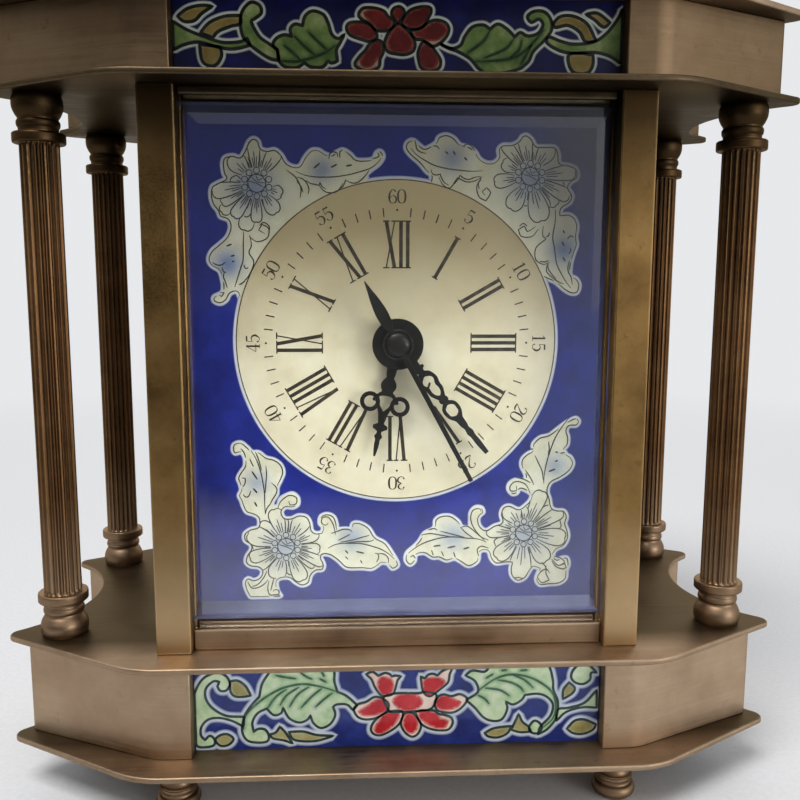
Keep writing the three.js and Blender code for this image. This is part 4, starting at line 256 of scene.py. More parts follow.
SPRAY_DRAWING = """
spray -5.5,32| -6.1,33.4 -5.2,34.4 -3.5,35.7 -2.7,37.2 -3.3,38.2 -4.2,37.9 -4.9,36.7 -6.8,36.4 -8.3,36.6
 -9.3,37.6 -10.8,38.4 -12.1,37.9 -13.2,37.3 -14.4,37.6 -15.6,38.3 -17.1,38.2 -18.4,36.8 -19.4,35.2
 -20.7,35.1 -22,35.8 -22.9,37.3 -24.2,38.3 -25.7,38.1 -26.9,38.5 -27.4,39.9 -28.4,40.4 -29.4,39.7 -30.2,38
 -31.1,36.8 -32.5,37.1 -34.1,36.7 -34.6,35.5 -34.4,33.5 -34,32.6 -35.6,31.8 -36.8,31 -37.1,29.3 -36.7,27.5
 -35.8,26.3 -35.3,25.1 -33.8,24.5 -33.4,23.1 -34.1,21.3 -35.7,19.8 -37.2,18.5 -37.9,16.8 -37.3,15.5
 -35.8,14.5 -35.3,13 -35.1,11.2 -35.5,10.2 -37,9.4 -37,8.4 -35.7,7.9 -34.4,8.6 -33.6,9.9 -32.3,10.2
 -31.7,8.4| -29,11.5 -25.5,17.8 -19.3,23.9 -12.9,27.9 -7.8,30.5
spray 6.6,32.1| 6.7,33.5 5.7,34.3 4.4,35.8 2.6,37.3 1.6,38.7 1.9,39.9 3.1,40.4 4.4,39.5 5.4,38.8 6.7,39.3
 7.7,40 8.2,41 9.7,41.5 11.3,40.9 12.6,39.6 14.4,39.2 15.7,38.2 16.5,37 17.8,36.2 19.3,36.2 20.3,37.2
 20.2,38.7 21.1,39.6 22.9,39.7 24.3,40.4 24.9,41.3 25.9,41.6 27,40.8 27.9,39.5 29.6,39.4 31.7,39.3 32.5,38
 32.8,36.2 34.6,35.8 36.2,35.1 36.5,33.3 35.2,32.3 34.7,31.3 35.6,29.8 35.1,28.3 33.5,27.2 33.2,26
 34.9,26.1 36.2,25.3 36.8,23.7 36.6,21.6 36.8,19.9 36.2,18.1 35.7,16 35.7,13.9 36.9,13.2 37.6,11.9
 37.2,10.3 35.9,10 34.3,10.8 32.4,12.3 30.7,13| 28.9,14.2 25.4,19 20.1,23.6 14.8,27.4 9.6,30.6
spray -32.2,-20.4 -30.8,-21.5 -29.9,-22.4 -28.5,-22.5 -27.1,-23.6 -25.4,-24.1 -24,-25.2 -23.5,-26.9
 -24.1,-28.6 -24.8,-30.1 -24.9,-31.5 -25.8,-33 -26,-34.1| -24.9,-33.9 -24.4,-32.5 -23.2,-31.7 -21.7,-31.3
 -20.6,-32.3 -20.6,-33.8 -21.8,-34.5 -23.2,-34.4 -24,-35.3 -23.5,-36.5 -22.1,-36.6 -20.6,-36 -18.9,-36.3
 -18.1,-37.6 -17.8,-39.3 -17,-39.9 -15.9,-39.8| -15.6,-38.8 -16.3,-37.8 -16,-36.3 -14.6,-35.8 -13.2,-36.4
 -12.6,-37.9 -12.5,-39.1 -11,-39 -9.7,-39.1| -9.3,-37.9 -7.8,-37.8 -5.9,-38.9 -4.5,-41 -2.5,-42.2 -1,-44.3
 0.3,-46.6 0.2,-47.6 -1,-48.1 -2,-47 -3.2,-46.8 -4.2,-47.5 -5.4,-48.1 -7.4,-47.9 -9.8,-47.9 -11.1,-47.5
 -12.5,-46.1 -14,-45 -15.4,-44.7 -15.9,-45.3 -15.3,-46.9 -15.7,-48.1 -17.1,-48.3 -18.1,-49.3 -18.6,-50.9
 -20.1,-51.5 -21.5,-50.8 -22.7,-49.8 -24.4,-49.8 -25.3,-50.5 -25.1,-52.3 -24.4,-53.6 -25,-53.9 -27,-53.9
 -29.4,-53.9 -30.8,-53.9 -31.3,-53.5 -32,-51.9 -32.2,-50.4 -31.4,-49.5 -30.2,-49.9 -29,-49.4 -28.5,-48.2
 -29.2,-47.4 -30.9,-47.1 -31.9,-46.1 -31.6,-44.6 -30.8,-43.4 -30.8,-42.4 -32,-41.4 -32,-39.9 -30.7,-38.9
 -29.1,-38.4 -29,-36.7 -30,-35.9 -31.4,-35.4 -32.1,-34.2 -32.5,-32.9 -33,-31.7 -32.5,-30.5 -32.7,-29.3
 -33.1,-28 -32.4,-26.6 -31.6,-25.4 -31.6,-23.7 -32.3,-22.7 -33.5,-22.9 -34,-22 -33.7,-20.8
spray 37.6,-15.7 38.4,-16.5 37.8,-17.5 36.3,-17.6 35.8,-18.5 36.2,-19.9 36.1,-21.5 35.3,-22.5| 35.9,-23.5
 36.8,-24.1 37.4,-25.5 36.6,-27.2 34.7,-28.6 32.7,-29.7 32.1,-31.4 32.6,-33.1 33,-34.9 34,-35.5 35.7,-35.7
 36.4,-37.1 36.1,-38.6 36.6,-40 36.8,-41.7 35.9,-43.5 34.3,-44.3 33.6,-45.3| 34.3,-46.4 35.5,-46
 36.7,-46.1 37.1,-47.6 36.7,-49 36.5,-50.8 35.1,-51.9 32.8,-52.1 30.8,-52.2 29.9,-51 30.2,-49.5 30.6,-48.5
 29.3,-48.1| 28.7,-48.9 27.6,-50.6 25.9,-51.2 24.6,-50 24.3,-48.3 24.6,-47.1 23.3,-47.1 21.3,-47.3
 20.1,-46.2 19.6,-44.7 18.8,-44.3 17.8,-44.7 17.4,-46.7 15.4,-47.8 13.5,-46.7 12.3,-46.1 10.6,-46.5
 9,-45.8 7.6,-45.8 5.9,-44.8 4.2,-45.1 3.9,-46.5 2.8,-47.3 1.8,-46.2 2.1,-44.5 3.6,-43.1 4.7,-41.9
 5.8,-40.2 7.8,-39.1 8.1,-37.4 9.4,-36.5 11.4,-36.5 13.1,-37.7 13.9,-38.9 15.5,-39.1| 15.5,-37.5
 15.6,-35.8 16.6,-34.7 18,-34.8 18.5,-35.9 17.8,-36.6 17.4,-37.5 17.8,-38.9 19,-39.7 20.6,-38.8 22.3,-38.1
 22,-36.4 22.5,-34.9 23.9,-34.4 25.9,-35.2 27.3,-34.3 28.2,-33.3 28.4,-32.2 27.2,-31.3 26.1,-31 25.5,-31.9
 24.4,-32.1 23.5,-30.9 23.8,-29.6 25.2,-28.8 27,-29.1| 27.1,-27.9 26.2,-26 26.3,-24.5 27.3,-23.4
 28.5,-22.6 28.6,-21.2 30,-19.8 31.9,-19.3 33.8,-17.9 35.7,-16.5
line -20.2,34.1 -18.8,33.5 -17,33.1 -15,33 -12.4,33.1 -9.8,33.5 -7.8,34 -5.4,34.8 -4,35.8 -3.2,36.8
line -18.2,32.4 -17.4,31.8 -16.4,31.6 -15.6,31.4| -15.4,32 -15,31.2 -14.2,30.7
line -11.5,30.7 -10.8,31.3 -10.4,32.2 -10.2,32.6
line -10.2,32.4 -9,31.9 -7.8,32.1 -6.6,33.1 -5.6,34.4
line -5,36.7 -4,36.9 -3.6,37.4 -4,37.8
line -13.6,36.5 -13.4,37.5 -12.8,37.9 -12,37.7 -11.8,36.9
line -11.4,36.7 -11.4,37.9 -10.8,38.3
line -20,33 -18.8,32.6 -18,31.8 -17.6,30.6 -17.8,29.7
line -20,32.2 -19.2,31.2 -18.8,30
line 17.1,34.5 14.6,34.4 12.2,34.6 9.8,34.9 7.4,35.5 5.4,36.5 3.7,37.6 2.7,38.8
line 3.5,40.3 3.7,39.5 3.9,38.6 4.7,38 5.8,37.8
line 8.4,38.6 7.9,39.2 7.1,39.2
line 12.8,39.4 13.4,39.1 13.6,39.6 14.4,39.6 15.2,38.9 15.6,38.3
line 6.8,34.7 7,33.9 7.8,33.6 8.6,33.8| 8.8,33.2 9.4,32.2 10.4,31.6
line 11.4,31.8 12.2,32.8 12.6,33.6| 13.4,33 14.5,32.8 15.5,33.2 16.7,33.4
line 16.5,30.9 16.3,32.1 16.9,32.8
line -14.5,-43.3 -13.2,-42.6 -11.7,-42.3 -9.8,-42.3 -7.5,-42.4 -5.2,-43 -3.3,-43.7 -1.6,-44.8 -0.5,-45.9
line -12.4,-41.6 -11.1,-41 -9.8,-40.3
line -12,-42 -9.4,-41.6 -7.3,-41 -5.8,-40.6
line -11.3,-42.3 -8.8,-42 -5.6,-41.9 -4.8,-41.5
line -13.8,-40.1 -12.4,-39.6 -11.1,-39.2 -9.8,-39.4 -9.4,-39.9
line -10.3,-45.8 -10.9,-45.1
line -7.7,-46 -7.3,-46.7
line -4.6,-44.5 -3.9,-44.8 -3.9,-45.7 -4.3,-46.5
line -3.9,-44.6 -2.6,-44.8 -1.8,-45.7 -1.8,-46.8
line 19.1,-42.4 17.2,-41.7 14.8,-41.5 12.3,-41.2 9.9,-41.3 7.6,-41.8 5.2,-42.7 3.5,-43.8 2.5,-44.6
line 5.2,-40.7 7.1,-40.4 9.5,-40.8 11.8,-41.2
line 9.3,-39.9 11.8,-40.6 14.4,-41.3
line 6.7,-39.6 8,-39.3 8.6,-39.7
line 13.5,-39.1 14.8,-40.4 16.3,-41.5
line 13.7,-39.1 15,-38.9 16.5,-40 18,-41.3 19.6,-42
line 7.4,-44 7.8,-45.2
line 9.5,-44.3 10,-45.4
line 12.1,-44.5 12.5,-45.7
line 17.5,-45.5 17.2,-44 18.1,-43.3 19.6,-43.8
line 2.9,-45.5 3.5,-45.1 4,-45.8
line -30.7,22.3 -30.8,19.8 -30.9,16.8 -31.4,15.2 -32.1,13.1 -32.7,11.3
line -37,16.2 -36.2,15.7 -35.2,15.7 -34.4,16.3
line -35.1,15.2 -34.9,14.4 -34.3,14.2
line -34.7,14.2 -34.9,13.4 -34.5,12.2 -34.2,11.1
line -35.8,9.7 -35.4,9.4 -34.8,10.2 -35.6,10.2
line -30.8,15.8 -30.5,15 -29.9,15.2
line -31.9,11.8 -31,12.2 -30.3,13.1
line 32.1,27 32.1,24.5 31.7,21.5 32.1,19.3 32.6,16.3 33.6,14.2 34.6,12.6 35.7,11.2
line 34.7,21.1 35.4,21.8 36,21.4
line 35,18.1 35.5,18.8 35.3,19.3
line 35.3,16.8 35,15.6 35.1,14.5 35.7,13.4 36,11.9
line 29.1,16.6 30.2,16.5 31,16.8
line 30.9,16.3 30.9,15.2 31.7,14 32.6,13.1
line 30.3,21.5 30.8,21.8 31,22.4
line -30.2,-22.2 -29.3,-23.7 -28.6,-25.6 -28.1,-27.6 -27.8,-29.5 -27.6,-31.2 -27.6,-33.6 -27.5,-35.8
line -29.3,-22.5 -28.8,-23.7 -28.4,-25.1 -28.1,-26.4
line -27.2,-25.4 -27.1,-27.3 -27.3,-29.5 -27.4,-31.2
line -32.3,-21.8 -31.7,-22.5 -31.3,-23.7
line -30.5,-23.9 -30,-25.1 -29.7,-25.6
line -32.2,-28 -31.5,-28.1 -31.6,-29.2 -32.1,-29.9
line -32,-31.4 -31.6,-32 -30.9,-31.9 -30.4,-30.7
line -26.1,-29.1 -25.1,-30.1 -25.1,-31.2 -26,-32.7 -26.6,-33.9
line -26.3,-33.4 -27.2,-34.6 -27.5,-35.8
line 36.2,-15.7 35,-17.2 33.9,-18.9 33.1,-20.5 32.5,-22.2 31.9,-24.2 31.5,-25.9 31.2,-27.8 31.1,-29.8
line 31.9,-20.8 32.1,-22.2 31.9,-23.7
line 29.1,-23.7 29.9,-25.4 30.7,-27.1 31,-29.1
line 27.1,-26.8 28.3,-28.6 29,-30
line 27.9,-22.5 28.7,-22.3
line 31.9,-19 32.1,-18.4
line 34.5,-23.3 35.4,-23.1
line 25.1,-28.4 26.8,-28.8 28.3,-29.6
line -30.6,-51.4 -29.4,-51 -28.1,-49.5 -27.4,-48
line -31.5,-50.3 -30.7,-51.7 -29.4,-51.7 -28.1,-51 -27.2,-50
line -27,-50.2 -27.3,-51.9 -26.9,-53.3 -25.8,-53.3 -25,-53.3 -25,-52.4 -25.8,-52.2 -26.2,-52.6
line -26,-49.8 -26.4,-51.3 -26.7,-52.4
line 31.1,-47 32,-48.1 32.2,-49
line 32.9,-49.5 32.2,-48.6 31.1,-49 30.5,-49.9
line 33.3,-46.8 34.2,-48 35.7,-48.6 36.6,-48.2
line 33.7,-45.7 35.2,-46.2 36.1,-47.1 35.7,-47.7
line -27.5,23.5 -26.7,24.1 -25.7,23.5 -25.5,22.6
line 24.8,23.6 25.6,24.2 26.4,23.6
line 16.9,33.2 16,31.4 16.5,29.4 17.9,28.6 18.8,30.2 18,31.2 17.1,30.4 17.7,29.7
line 28.7,23.1 27.4,21.6 25.3,21.6 24.6,22.9 25.8,23.6 26.5,22.6 28.1,23.6
line -29.6,21.3 -28,20.3 -26,21.1 -25.7,22.9 -27,23.7 -27.7,22.6 -26.5,21.9
line -22,34.3 -20.2,32.9 -19.2,30.9 -19.4,28.9
line -24.9,-34.5 -24.2,-33 -22.5,-31.8 -21,-32.3 -21.1,-33.6 -22.3,-33.8 -22.6,-33
line -12.9,-40.4 -13.4,-38.1 -14.4,-36.6 -15.6,-36.7 -15.8,-37.8 -14.9,-38.3 -14.4,-37.8
line 28.3,-31.9 27.2,-29.9 25.2,-29.3 24,-30.2 24.1,-31.3 25.4,-31.3 25.3,-30.2
line 18.7,-42.1 16.7,-39.8 15.7,-37.5 16.1,-35.5 17.5,-35.1 17.9,-35.8
line 33.2,-46.3 34.7,-47.8 36.1,-47.2 36.4,-48.4
line 32.1,-47.8 32.1,-49.5 32.8,-51 31.3,-51.6 30.3,-50.4 30.7,-49.5
line 29.7,23.7 29.6,21.9 30.3,21.1 28.3,19.3 28.3,17 29.9,16 31.2,16.5
line 30.7,16 30.7,14.4 32.9,12.6 34.2,12.1
line 8.3,33.3 9.1,31.8 10.6,31.1 12.1,33.1| 14,32.3 15.8,32.6 17,33.4
line -29.5,21.6 -29.2,19.6 -29.7,18.1 -28.8,16.3 -29.7,13.8 -31.5,11.7
line -15.6,31.4 -14.2,30.1 -12.1,30.2 -10.8,31.9
dash -16.6,34.7 -15.4,35.7
dash -13.2,34.9 -12,35.5
dash -10.2,35.2 -9,35.4
dash 9.6,38.2 10.2,37.7
dash 11.2,38.3 11.6,37.5
dash 13.4,37.1 14,36.5
dash -10.9,-43.8 -10.3,-44.5
dash -8.6,-44.1 -6.9,-44.5
dash 7.8,-43.2 9.3,-43
dash 10.8,-43.6 12.5,-43.2
dash 14.2,-43.9 15.5,-43.5
dash -34.2,19.4 -33.1,19.8
dash -33.4,17.4 -32.6,17.6
dash -33.2,16.4 -32.6,16.4
dash 34.4,16.6 33.9,17.5
dash 33.8,22.9 34.1,22.2
dash 33.6,20.6 34.1,19.7
dash -30.1,-26.6 -29,-28.3
dash -29.9,-30.2 -29.1,-31.2
dash -29.7,-33.1 -29.2,-34.1
dash 33.4,-23 34,-23.1
dash 33.4,-25.1 34,-24.8
dash 32.1,-27.2 33.5,-26.7
flower -27.9,31.7 -32.9,36.9,1.9 -28.5,40.2,1.2 -36.7,29.9,1.5 -24.1,25.9,1.5 -28.1,24.1,1.1 -23.7,38.3,1.5
 -32.6,25.1,1.2 -30,38.3,1 -33.1,31.7,1.5 -30.6,25.3,1.1 -26.4,26.1,1.2 -34.9,27.8,1.1 -26.8,38.5,1 -35,26,1.2
 -23,29.4,1.5 -30.5,22.5,1.5
flower 26.8,33.5 25.4,41.5,1.4 30.9,39.6,1.8 36,34.4,1.5 22.9,27,1.8 29.3,24.6,2.1 21.4,39.9,1.2 34.9,29.4,1.4
 27.5,39.4,1 30.2,26.8,1.4 26.1,27.6,1.5 19.5,32.3,1.4 33.6,31.4,1.1 32.3,27.8,1.2 21.1,36.2,1.4
 24.1,38.8,1.1
flower -23.3,-42.8 -19.1,-36.1,1.9 -31.2,-39.8,2.1 -19.9,-50.3,1.6 -25.8,-49.8,1.9 -15.4,-46.6,1.2
 -30.9,-45.3,1.4 -25.7,-34.7,1.6 -16.6,-39.8,1.5 -23.9,-36.5,1.1 -21.8,-36.7,1.2 -22,-48.9,1.2 -16.2,-43.5,1.2
 -30.3,-42.5,1.1 -28.7,-37.7,1.5 -17.3,-47.2,1 -29.3,-47.3,1.2
flower 27.1,-40.5 23.5,-34.4,2.1 36.1,-41.8,1.9 32.2,-46.8,1.8 26.2,-50.5,2.4 26.5,-34.6,1.4 35.3,-35.8,1.4
 21.3,-46,1.8 30.9,-31.4,1.6 29,-33.3,1.5 19.1,-40,1.4
 33.2,-35.1,1.5 28.9,-46.1,1.2 35,-38.4,1.2 22.1,-38.1,1.5
 30.8,-34.7,1.2 20.9,-42.9,1
"""
SPRAY_TINTS = (
    (-28.6, 31, 5), (-15, 34.5, 2.6), (-34, 16, 3), (27, 33, 5), (11, 37, 3), (34, 19, 3),
    (-23.6, -43, 4.6), (-29, -29, 2.6), (-9.5, -41, 3), (27.4, -41, 4.6), (33.6, -26, 2.4), (12, -41, 3),
)

# Letter and figure strokes: across, up and width, in parts of the letter's height
FIGURES = {
    "0": ["0,0.04,0.05 -0.2,0.15,0.12 -0.26,0.5,0.17 -0.2,0.85,0.12 0,0.96,0.05 0.2,0.85,0.12 0.26,0.5,0.17 "
          "0.2,0.15,0.12 0,0.04,0.05"],
    "1": ["0,0.02,0.16 0,0.96,0.16", "-0.18,0.03,0.05 0.18,0.03,0.05", "-0.2,0.8,0.04 -0.05,0.88,0.09"],
    "2": ["-0.22,0.72,0.16 -0.2,0.88,0.06 0,0.96,0.06 0.2,0.86,0.14 0.2,0.66,0.16 0,0.36,0.08 "
          "-0.24,0.06,0.05",
          "-0.24,0.06,0.1 0.12,0.07,0.14 0.26,0.2,0.05"],
    "3": ["-0.2,0.78,0.15 -0.16,0.92,0.06 0.02,0.96,0.06 0.18,0.84,0.15 0.15,0.64,0.12 -0.04,0.53,0.05",
          "-0.04,0.53,0.05 0.2,0.42,0.14 0.23,0.22,0.16 0.05,0.04,0.06 -0.16,0.08,0.06 -0.21,0.22,0.15"],
    "4": ["0.1,0.02,0.16 0.1,0.96,0.16", "0.08,0.94,0.05 -0.28,0.3,0.05", "-0.28,0.29,0.06 0.28,0.29,0.06",
          "-0.04,0.03,0.05 0.24,0.03,0.05"],
    "5": ["-0.17,0.94,0.05 -0.19,0.52,0.05", "-0.17,0.92,0.13 0.2,0.92,0.13",
          "-0.19,0.53,0.05 0.02,0.61,0.08 0.2,0.5,0.14 0.23,0.28,0.17 0.05,0.04,0.06 -0.16,0.08,0.06 "
          "-0.21,0.22,0.14"],
    "6": ["0.2,0.82,0.14 0.08,0.96,0.06 -0.13,0.86,0.1 -0.24,0.5,0.16 -0.18,0.14,0.1 0.02,0.04,0.05 "
          "0.22,0.16,0.12 0.22,0.42,0.12 0.03,0.56,0.05 -0.18,0.42,0.05"],
}
FIGURE_STEP = 0.08
ROMAN = ("XII", "I", "II", "III", "IIII", "V", "VI", "VII", "VIII", "IX", "X", "XI")
LETTER_ADVANCE = {"I": 1.36, "V": 2.9, "X": 2.9}
LETTER_MARGIN = 0.62
BAR_WIDTH = 0.74
THIN_WIDTH = 0.27
I_SERIF = 0.68
V_SERIFS = (0.72, 0.5)
X_SERIF = 0.66


def colour(red, green, blue):
    """A screen colour out of 255 as the linear colour that shaders use."""
    parts = [part / 255 for part in (red, green, blue)]
    linear = [part / 12.92 if part <= 0.04045 else ((part + 0.055) / 1.055) ** 2.4 for part in parts]
    return (*linear, 1)


class Nodes:
    """A node tree to which short calls add nodes, wired or set at once."""

    def __init__(self, tree):
        self.nodes = tree.nodes
        self.links = tree.links

    def put(self, value, socket):
        """Wires a socket to another one, or sets it to a plain value."""
        if isinstance(value, bpy.types.NodeSocket):
            self.links.new(value, socket)
        else:
            socket.default_value = value

    def add(self, kind, inputs=None, **settings):
        node = self.nodes.new(kind)
        for key, value in settings.items():
            setattr(node, key, value)
        for key, value in (inputs or {}).items():
            self.put(value, node.inputs[key])
        return node

    def math(self, operation, *values):
        return self.add("ShaderNodeMath", dict(enumerate(values)), operation=operation).outputs[0]

    def axis(self, letter, vector):
        return self.add("ShaderNodeSeparateXYZ", {0: vector}).outputs[letter]

    def ray(self, kind):
        return self.add("ShaderNodeLightPath").outputs[f"Is {kind} Ray"]

    def glow(self, kind, strength, tint):
        return self.add(f"ShaderNode{kind}", {"Strength": strength, "Color": tint}).outputs[0]

    def blend(self, share, first, second):
        """One shader that goes over into another."""
        return self.add("ShaderNodeMixShader", {0: share, 1: first, 2: second}).outputs[0]


class Paint(Nodes):
    """A material; the sockets of its surface are given by name."""

    def __init__(self, name, **sockets):
        self.material = bpy.data.materials.new(name)
        self.material.use_nodes = True
        super().__init__(self.material.node_tree)
        self.surface = self.nodes["Principled BSDF"]
        self.place = self.add("ShaderNodeTexCoord").outputs["Object"]
        self.wire(**sockets)

    def wire(self, **sockets):
        for key, value in sockets.items():
            self.put(value, self.surface.inputs[key.replace("_", " ")])
        return self.material

    def cover(self, shader):
        """Puts another shader in the place of the surface."""
        self.links.new(shader, self.nodes["Material Output"].inputs["Surface"])
        return self.material

    def along(self, letter):
        """How far a place lies along one of the clock's axes, in metres."""
        return self.axis(letter, self.place)

    def span(self, value, start, end, top=1.0, base=0.0):
        """Goes from the base to the top while a value goes from the start to the end."""
        limits = {"Value": value, "From Min": start, "From Max": end, "To Min": base, "To Max": top}
        return self.add("ShaderNodeMapRange", limits).outputs[0]

    def noise(self, scale, detail=3, rough=0.55, stretch=None):
        place = self.place
        if stretch:
            place = self.add("ShaderNodeMapping", {"Vector": place, "Scale": stretch}).outputs["Vector"]
        sizes = {"Vector": place, "Scale": scale, "Detail": detail, "Roughness": rough}
        return self.add("ShaderNodeTexNoise", sizes).outputs["Fac"]

    def ramp(self, factor, *stops):
        node = self.add("ShaderNodeValToRGB", {"Fac": factor})
        band = node.color_ramp.elements
        while len(band) < len(stops):
            band.new(0.5)
        for element, (position, tint) in zip(band, stops):
            element.position = position
            element.color = tint if isinstance(tint, tuple) else (tint, tint, tint, 1)
        return node.outputs["Color"]

    def mix(self, factor, first, second):
        """A colour that goes over into another; the numbers are those of the node's colour sockets."""
        node = self.add("ShaderNodeMix", {}, data_type="RGBA")
        for socket, value in ((0, factor), (6, first), (7, second)):
            self.put(value, node.inputs[socket])
        return node.outputs[2]

    def tone(self):
        return self.add("ShaderNodeAttribute", {}, attribute_name="tone").outputs["Fac"]

    def facing(self):
        return self.add("ShaderNodeNewGeometry").outputs["Normal"]

    def worn(self, radius):
        """Where an edge is near: the rounded normal turns away from the face's own."""
        rounded = self.add("ShaderNodeBevel", {"Radius": radius}, samples=6).outputs["Normal"]
        normals = {0: rounded, 1: self.facing()}
        turn = self.add("ShaderNodeVectorMath", normals, operation="DOT_PRODUCT").outputs["Value"]
        return self.ramp(self.math("SUBTRACT", 1.0, turn), (0.02, 0), (0.25, 1))

    def bump(self, height, distance, strength):
        sizes = {"Height": height, "Distance": distance, "Strength": strength}
        return self.add("ShaderNodeBump", sizes).outputs[0]


# Where painted shade, painted light, and the edges' rubbing and painted highlight change, in metres along the
# clock's axes, and how the grain is stretched
SHADED_Y = (-0.036, -0.028)
PAINTED_SHADE_Z = (0.112, 0.136)
PAINTED_LIGHT_Z = (0.062, 0.042)
DIAL_SHADE_Z = (0.09, 0.14)
POST_SHELTER = 0.0336
SILL_SHELTER = 0.0324
SHELTER_FADE = 0.0006
ALONG_X = (0.02, 1, 1)
LEVEL = (0.02, 0.02, 1)
ALL_WAYS = (1, 1, 1)
METAL_SHEEN = (0.72, 0.64, 0.54, 1)
GLASS_TINT = (0.97, 0.99, 0.98, 1)
WHITE = (1, 1, 1, 1)


def metal(name, shades, grain, rough, edge_reach, brushing=0.25, level=None, sheltered=None, shade_and_light=None):
    """Patinated metal: cloudy tarnish, brushed grain, dark specks, and bright edges of rubbing and painted
    highlight.

    The level colour is painted shade on faces that look up or down, behind the front. Edges nearer to the
    clock's middle plane than the sheltered depth get neither rubbing nor painted highlight. The last pair of
    colours is painted shade close under the ceiling and painted light close over the deck.
    """
    paint = Paint(name, Metallic=1.0, Specular_Tint=METAL_SHEEN)
    dark, middle, bright, edge = (colour(*shade) for shade in shades)
    clouds = paint.noise(55, 6, 0.6)
    lines = paint.noise(2400, 2, 0.5, grain)
    fine = paint.noise(700, 4, 0.6)
    tarnish = paint.ramp(clouds, (0.3, dark), (0.5, middle), (0.72, bright))
    brushed = paint.mix(brushing, tarnish, paint.ramp(lines, (0.35, dark), (0.65, bright)))
    specks = paint.ramp(paint.noise(420, 3, 0.7), (0.62, 0), (0.72, 0.55))
    tint = paint.mix(specks, brushed, dark)
    # Painted shade: faces that look up or down, behind the front, go over into the level colour.
    if level:
        flatness = paint.math("ABSOLUTE", paint.axis("Z", paint.facing()))
        level_face_shade = paint.ramp(flatness, (0.6, 0), (0.95, 0.85))
        behind = paint.span(paint.along("Y"), *SHADED_Y)
        tint = paint.mix(paint.math("MULTIPLY", level_face_shade, behind), tint, colour(*level))
    # Painted shade close under the ceiling and painted light close over the deck.
    if shade_and_light:
        high, low = (colour(*shade) for shade in shade_and_light)
        tint = paint.mix(paint.span(paint.along("Z"), *PAINTED_SHADE_Z, 0.92), tint, high)
        tint = paint.mix(paint.span(paint.along("Z"), *PAINTED_LIGHT_Z, 0.6), tint, low)
    # Bright edges: partly rubbing, partly a painted highlight along convex edges.
    edge_wear_and_highlight = paint.math("MULTIPLY", paint.worn(edge_reach), paint.ramp(fine, (0.3, 0.35), (0.6, 1)))
    if sheltered:
        depth = paint.math("ABSOLUTE", paint.along("Y"))
        edge_wear_and_highlight = paint.math("MULTIPLY", edge_wear_and_highlight, paint.span(depth, sheltered, sheltered + SHELTER_FADE))
    base = paint.mix(edge_wear_and_highlight, tint, edge)
    gloss = paint.ramp(paint.math("ADD", lines, clouds), (0.7, rough[0]), (1.25, rough[1]))
    relief = paint.bump(paint.math("ADD", lines, fine), 0.00003, 0.35)
    return paint.wire(Base_Color=base, Roughness=gloss, Normal=relief)


def enamel(name, shades, tone=None, scale=160, rough=(0.1, 0.22), coat=0.3, shine=0.3, shade_higher_up=None):
    """Fired enamel: mottled, with a second colour by a point value, painted shade higher up, a glassy coat.
    """
    paint = Paint(name, Coat_Weight=coat, Coat_Roughness=0.06, Specular_IOR_Level=shine)
    low, middle, high = (colour(*shade) for shade in shades)
    base = paint.ramp(paint.noise(scale, 5, 0.62), (0.3, low), (0.5, middle), (0.72, high))
    if tone:
        base = paint.mix(paint.tone(), base, colour(*tone))
    # Painted shade: the colour goes over into a darker one towards the top of the dial.
    if shade_higher_up:
        base = paint.mix(paint.span(paint.along("Z"), *DIAL_SHADE_Z, 0.8), base, colour(*shade_higher_up))
    pits = paint.ramp(paint.noise(1500, 2), (0.68, 0), (0.78, 0.35))
    base = paint.mix(pits, base, low)
    gloss = paint.ramp(paint.noise(300, 3), (0.35, rough[0]), (0.7, rough[1]))
    relief = paint.bump(paint.noise(420, 2), 0.00004, shine)
    return paint.wire(Base_Color=base, Roughness=gloss, Normal=relief)


def dim(name, shades, tone=None, scale=160):
    """Enamel of the top tier, with little gloss; the colours given to it are partly its own and partly
    painted shade.
    """
    return enamel(name, shades, tone, scale, (0.3, 0.45), 0.08, 0.2)


def printed(name, shades, tone=None, scale=160, shade_higher_up=None):
    """Dull enamel of the dial, which lies behind glass."""
    return enamel(name, shades, tone, scale, (0.5, 0.6), 0.0, 0.1, shade_higher_up)


def glass(name, coat):
    """Clear glass that lets lamplight through to what is behind it."""
    paint = Paint(name, Transmission_Weight=1.0, IOR=1.15)
    paint.wire(Coat_Weight=coat, Coat_IOR=1.7, Coat_Roughness=0.05)
    smear = paint.ramp(paint.noise(60, 4), (0.45, 0.0), (0.75, 0.03))
    base = paint.ramp(paint.noise(25, 2), (0.3, GLASS_TINT), (0.7, WHITE))
    paint.wire(Base_Color=base, Roughness=smear)
    clear = paint.add("ShaderNodeBsdfTransparent").outputs[0]
    return paint.cover(paint.blend(paint.ray("Shadow"), paint.surface.outputs[0], clear))


# Colours out of 255: a metal's dark, middle, bright and edge shades, then plain colours used more than once.
# The edge shade is partly rubbing and partly painted highlight; the plate-top, ceiling and disc-top colours
# are painted shade, DEEP is partly painted shade, and each post or turned pair is painted shade and then
# painted light
BRONZE = ((104, 79, 45), (136, 106, 63), (160, 130, 84), (212, 182, 130))
BLOCK = ((150, 126, 102), (172, 148, 123), (188, 166, 141), (220, 197, 158))
DARK = ((128, 108, 87), (156, 133, 109), (176, 153, 128), (232, 209, 172))
TURNED = ((74, 50, 31), (100, 71, 46), (124, 92, 61), (160, 126, 84))
SHADY = ((54, 45, 32), (74, 62, 46), (94, 79, 60), (170, 148, 114))
SHADED_BLOCK = ((98, 78, 58), (114, 94, 71), (128, 108, 84), (172, 150, 116))
BRASS = ((172, 134, 70), (190, 152, 84), (206, 170, 100), (236, 206, 138))
STEEL = ((110, 112, 116), (150, 152, 156), (182, 184, 188), (220, 222, 224))
POST_SHADE_AND_LIGHT = ((46, 34, 20), (206, 178, 138))
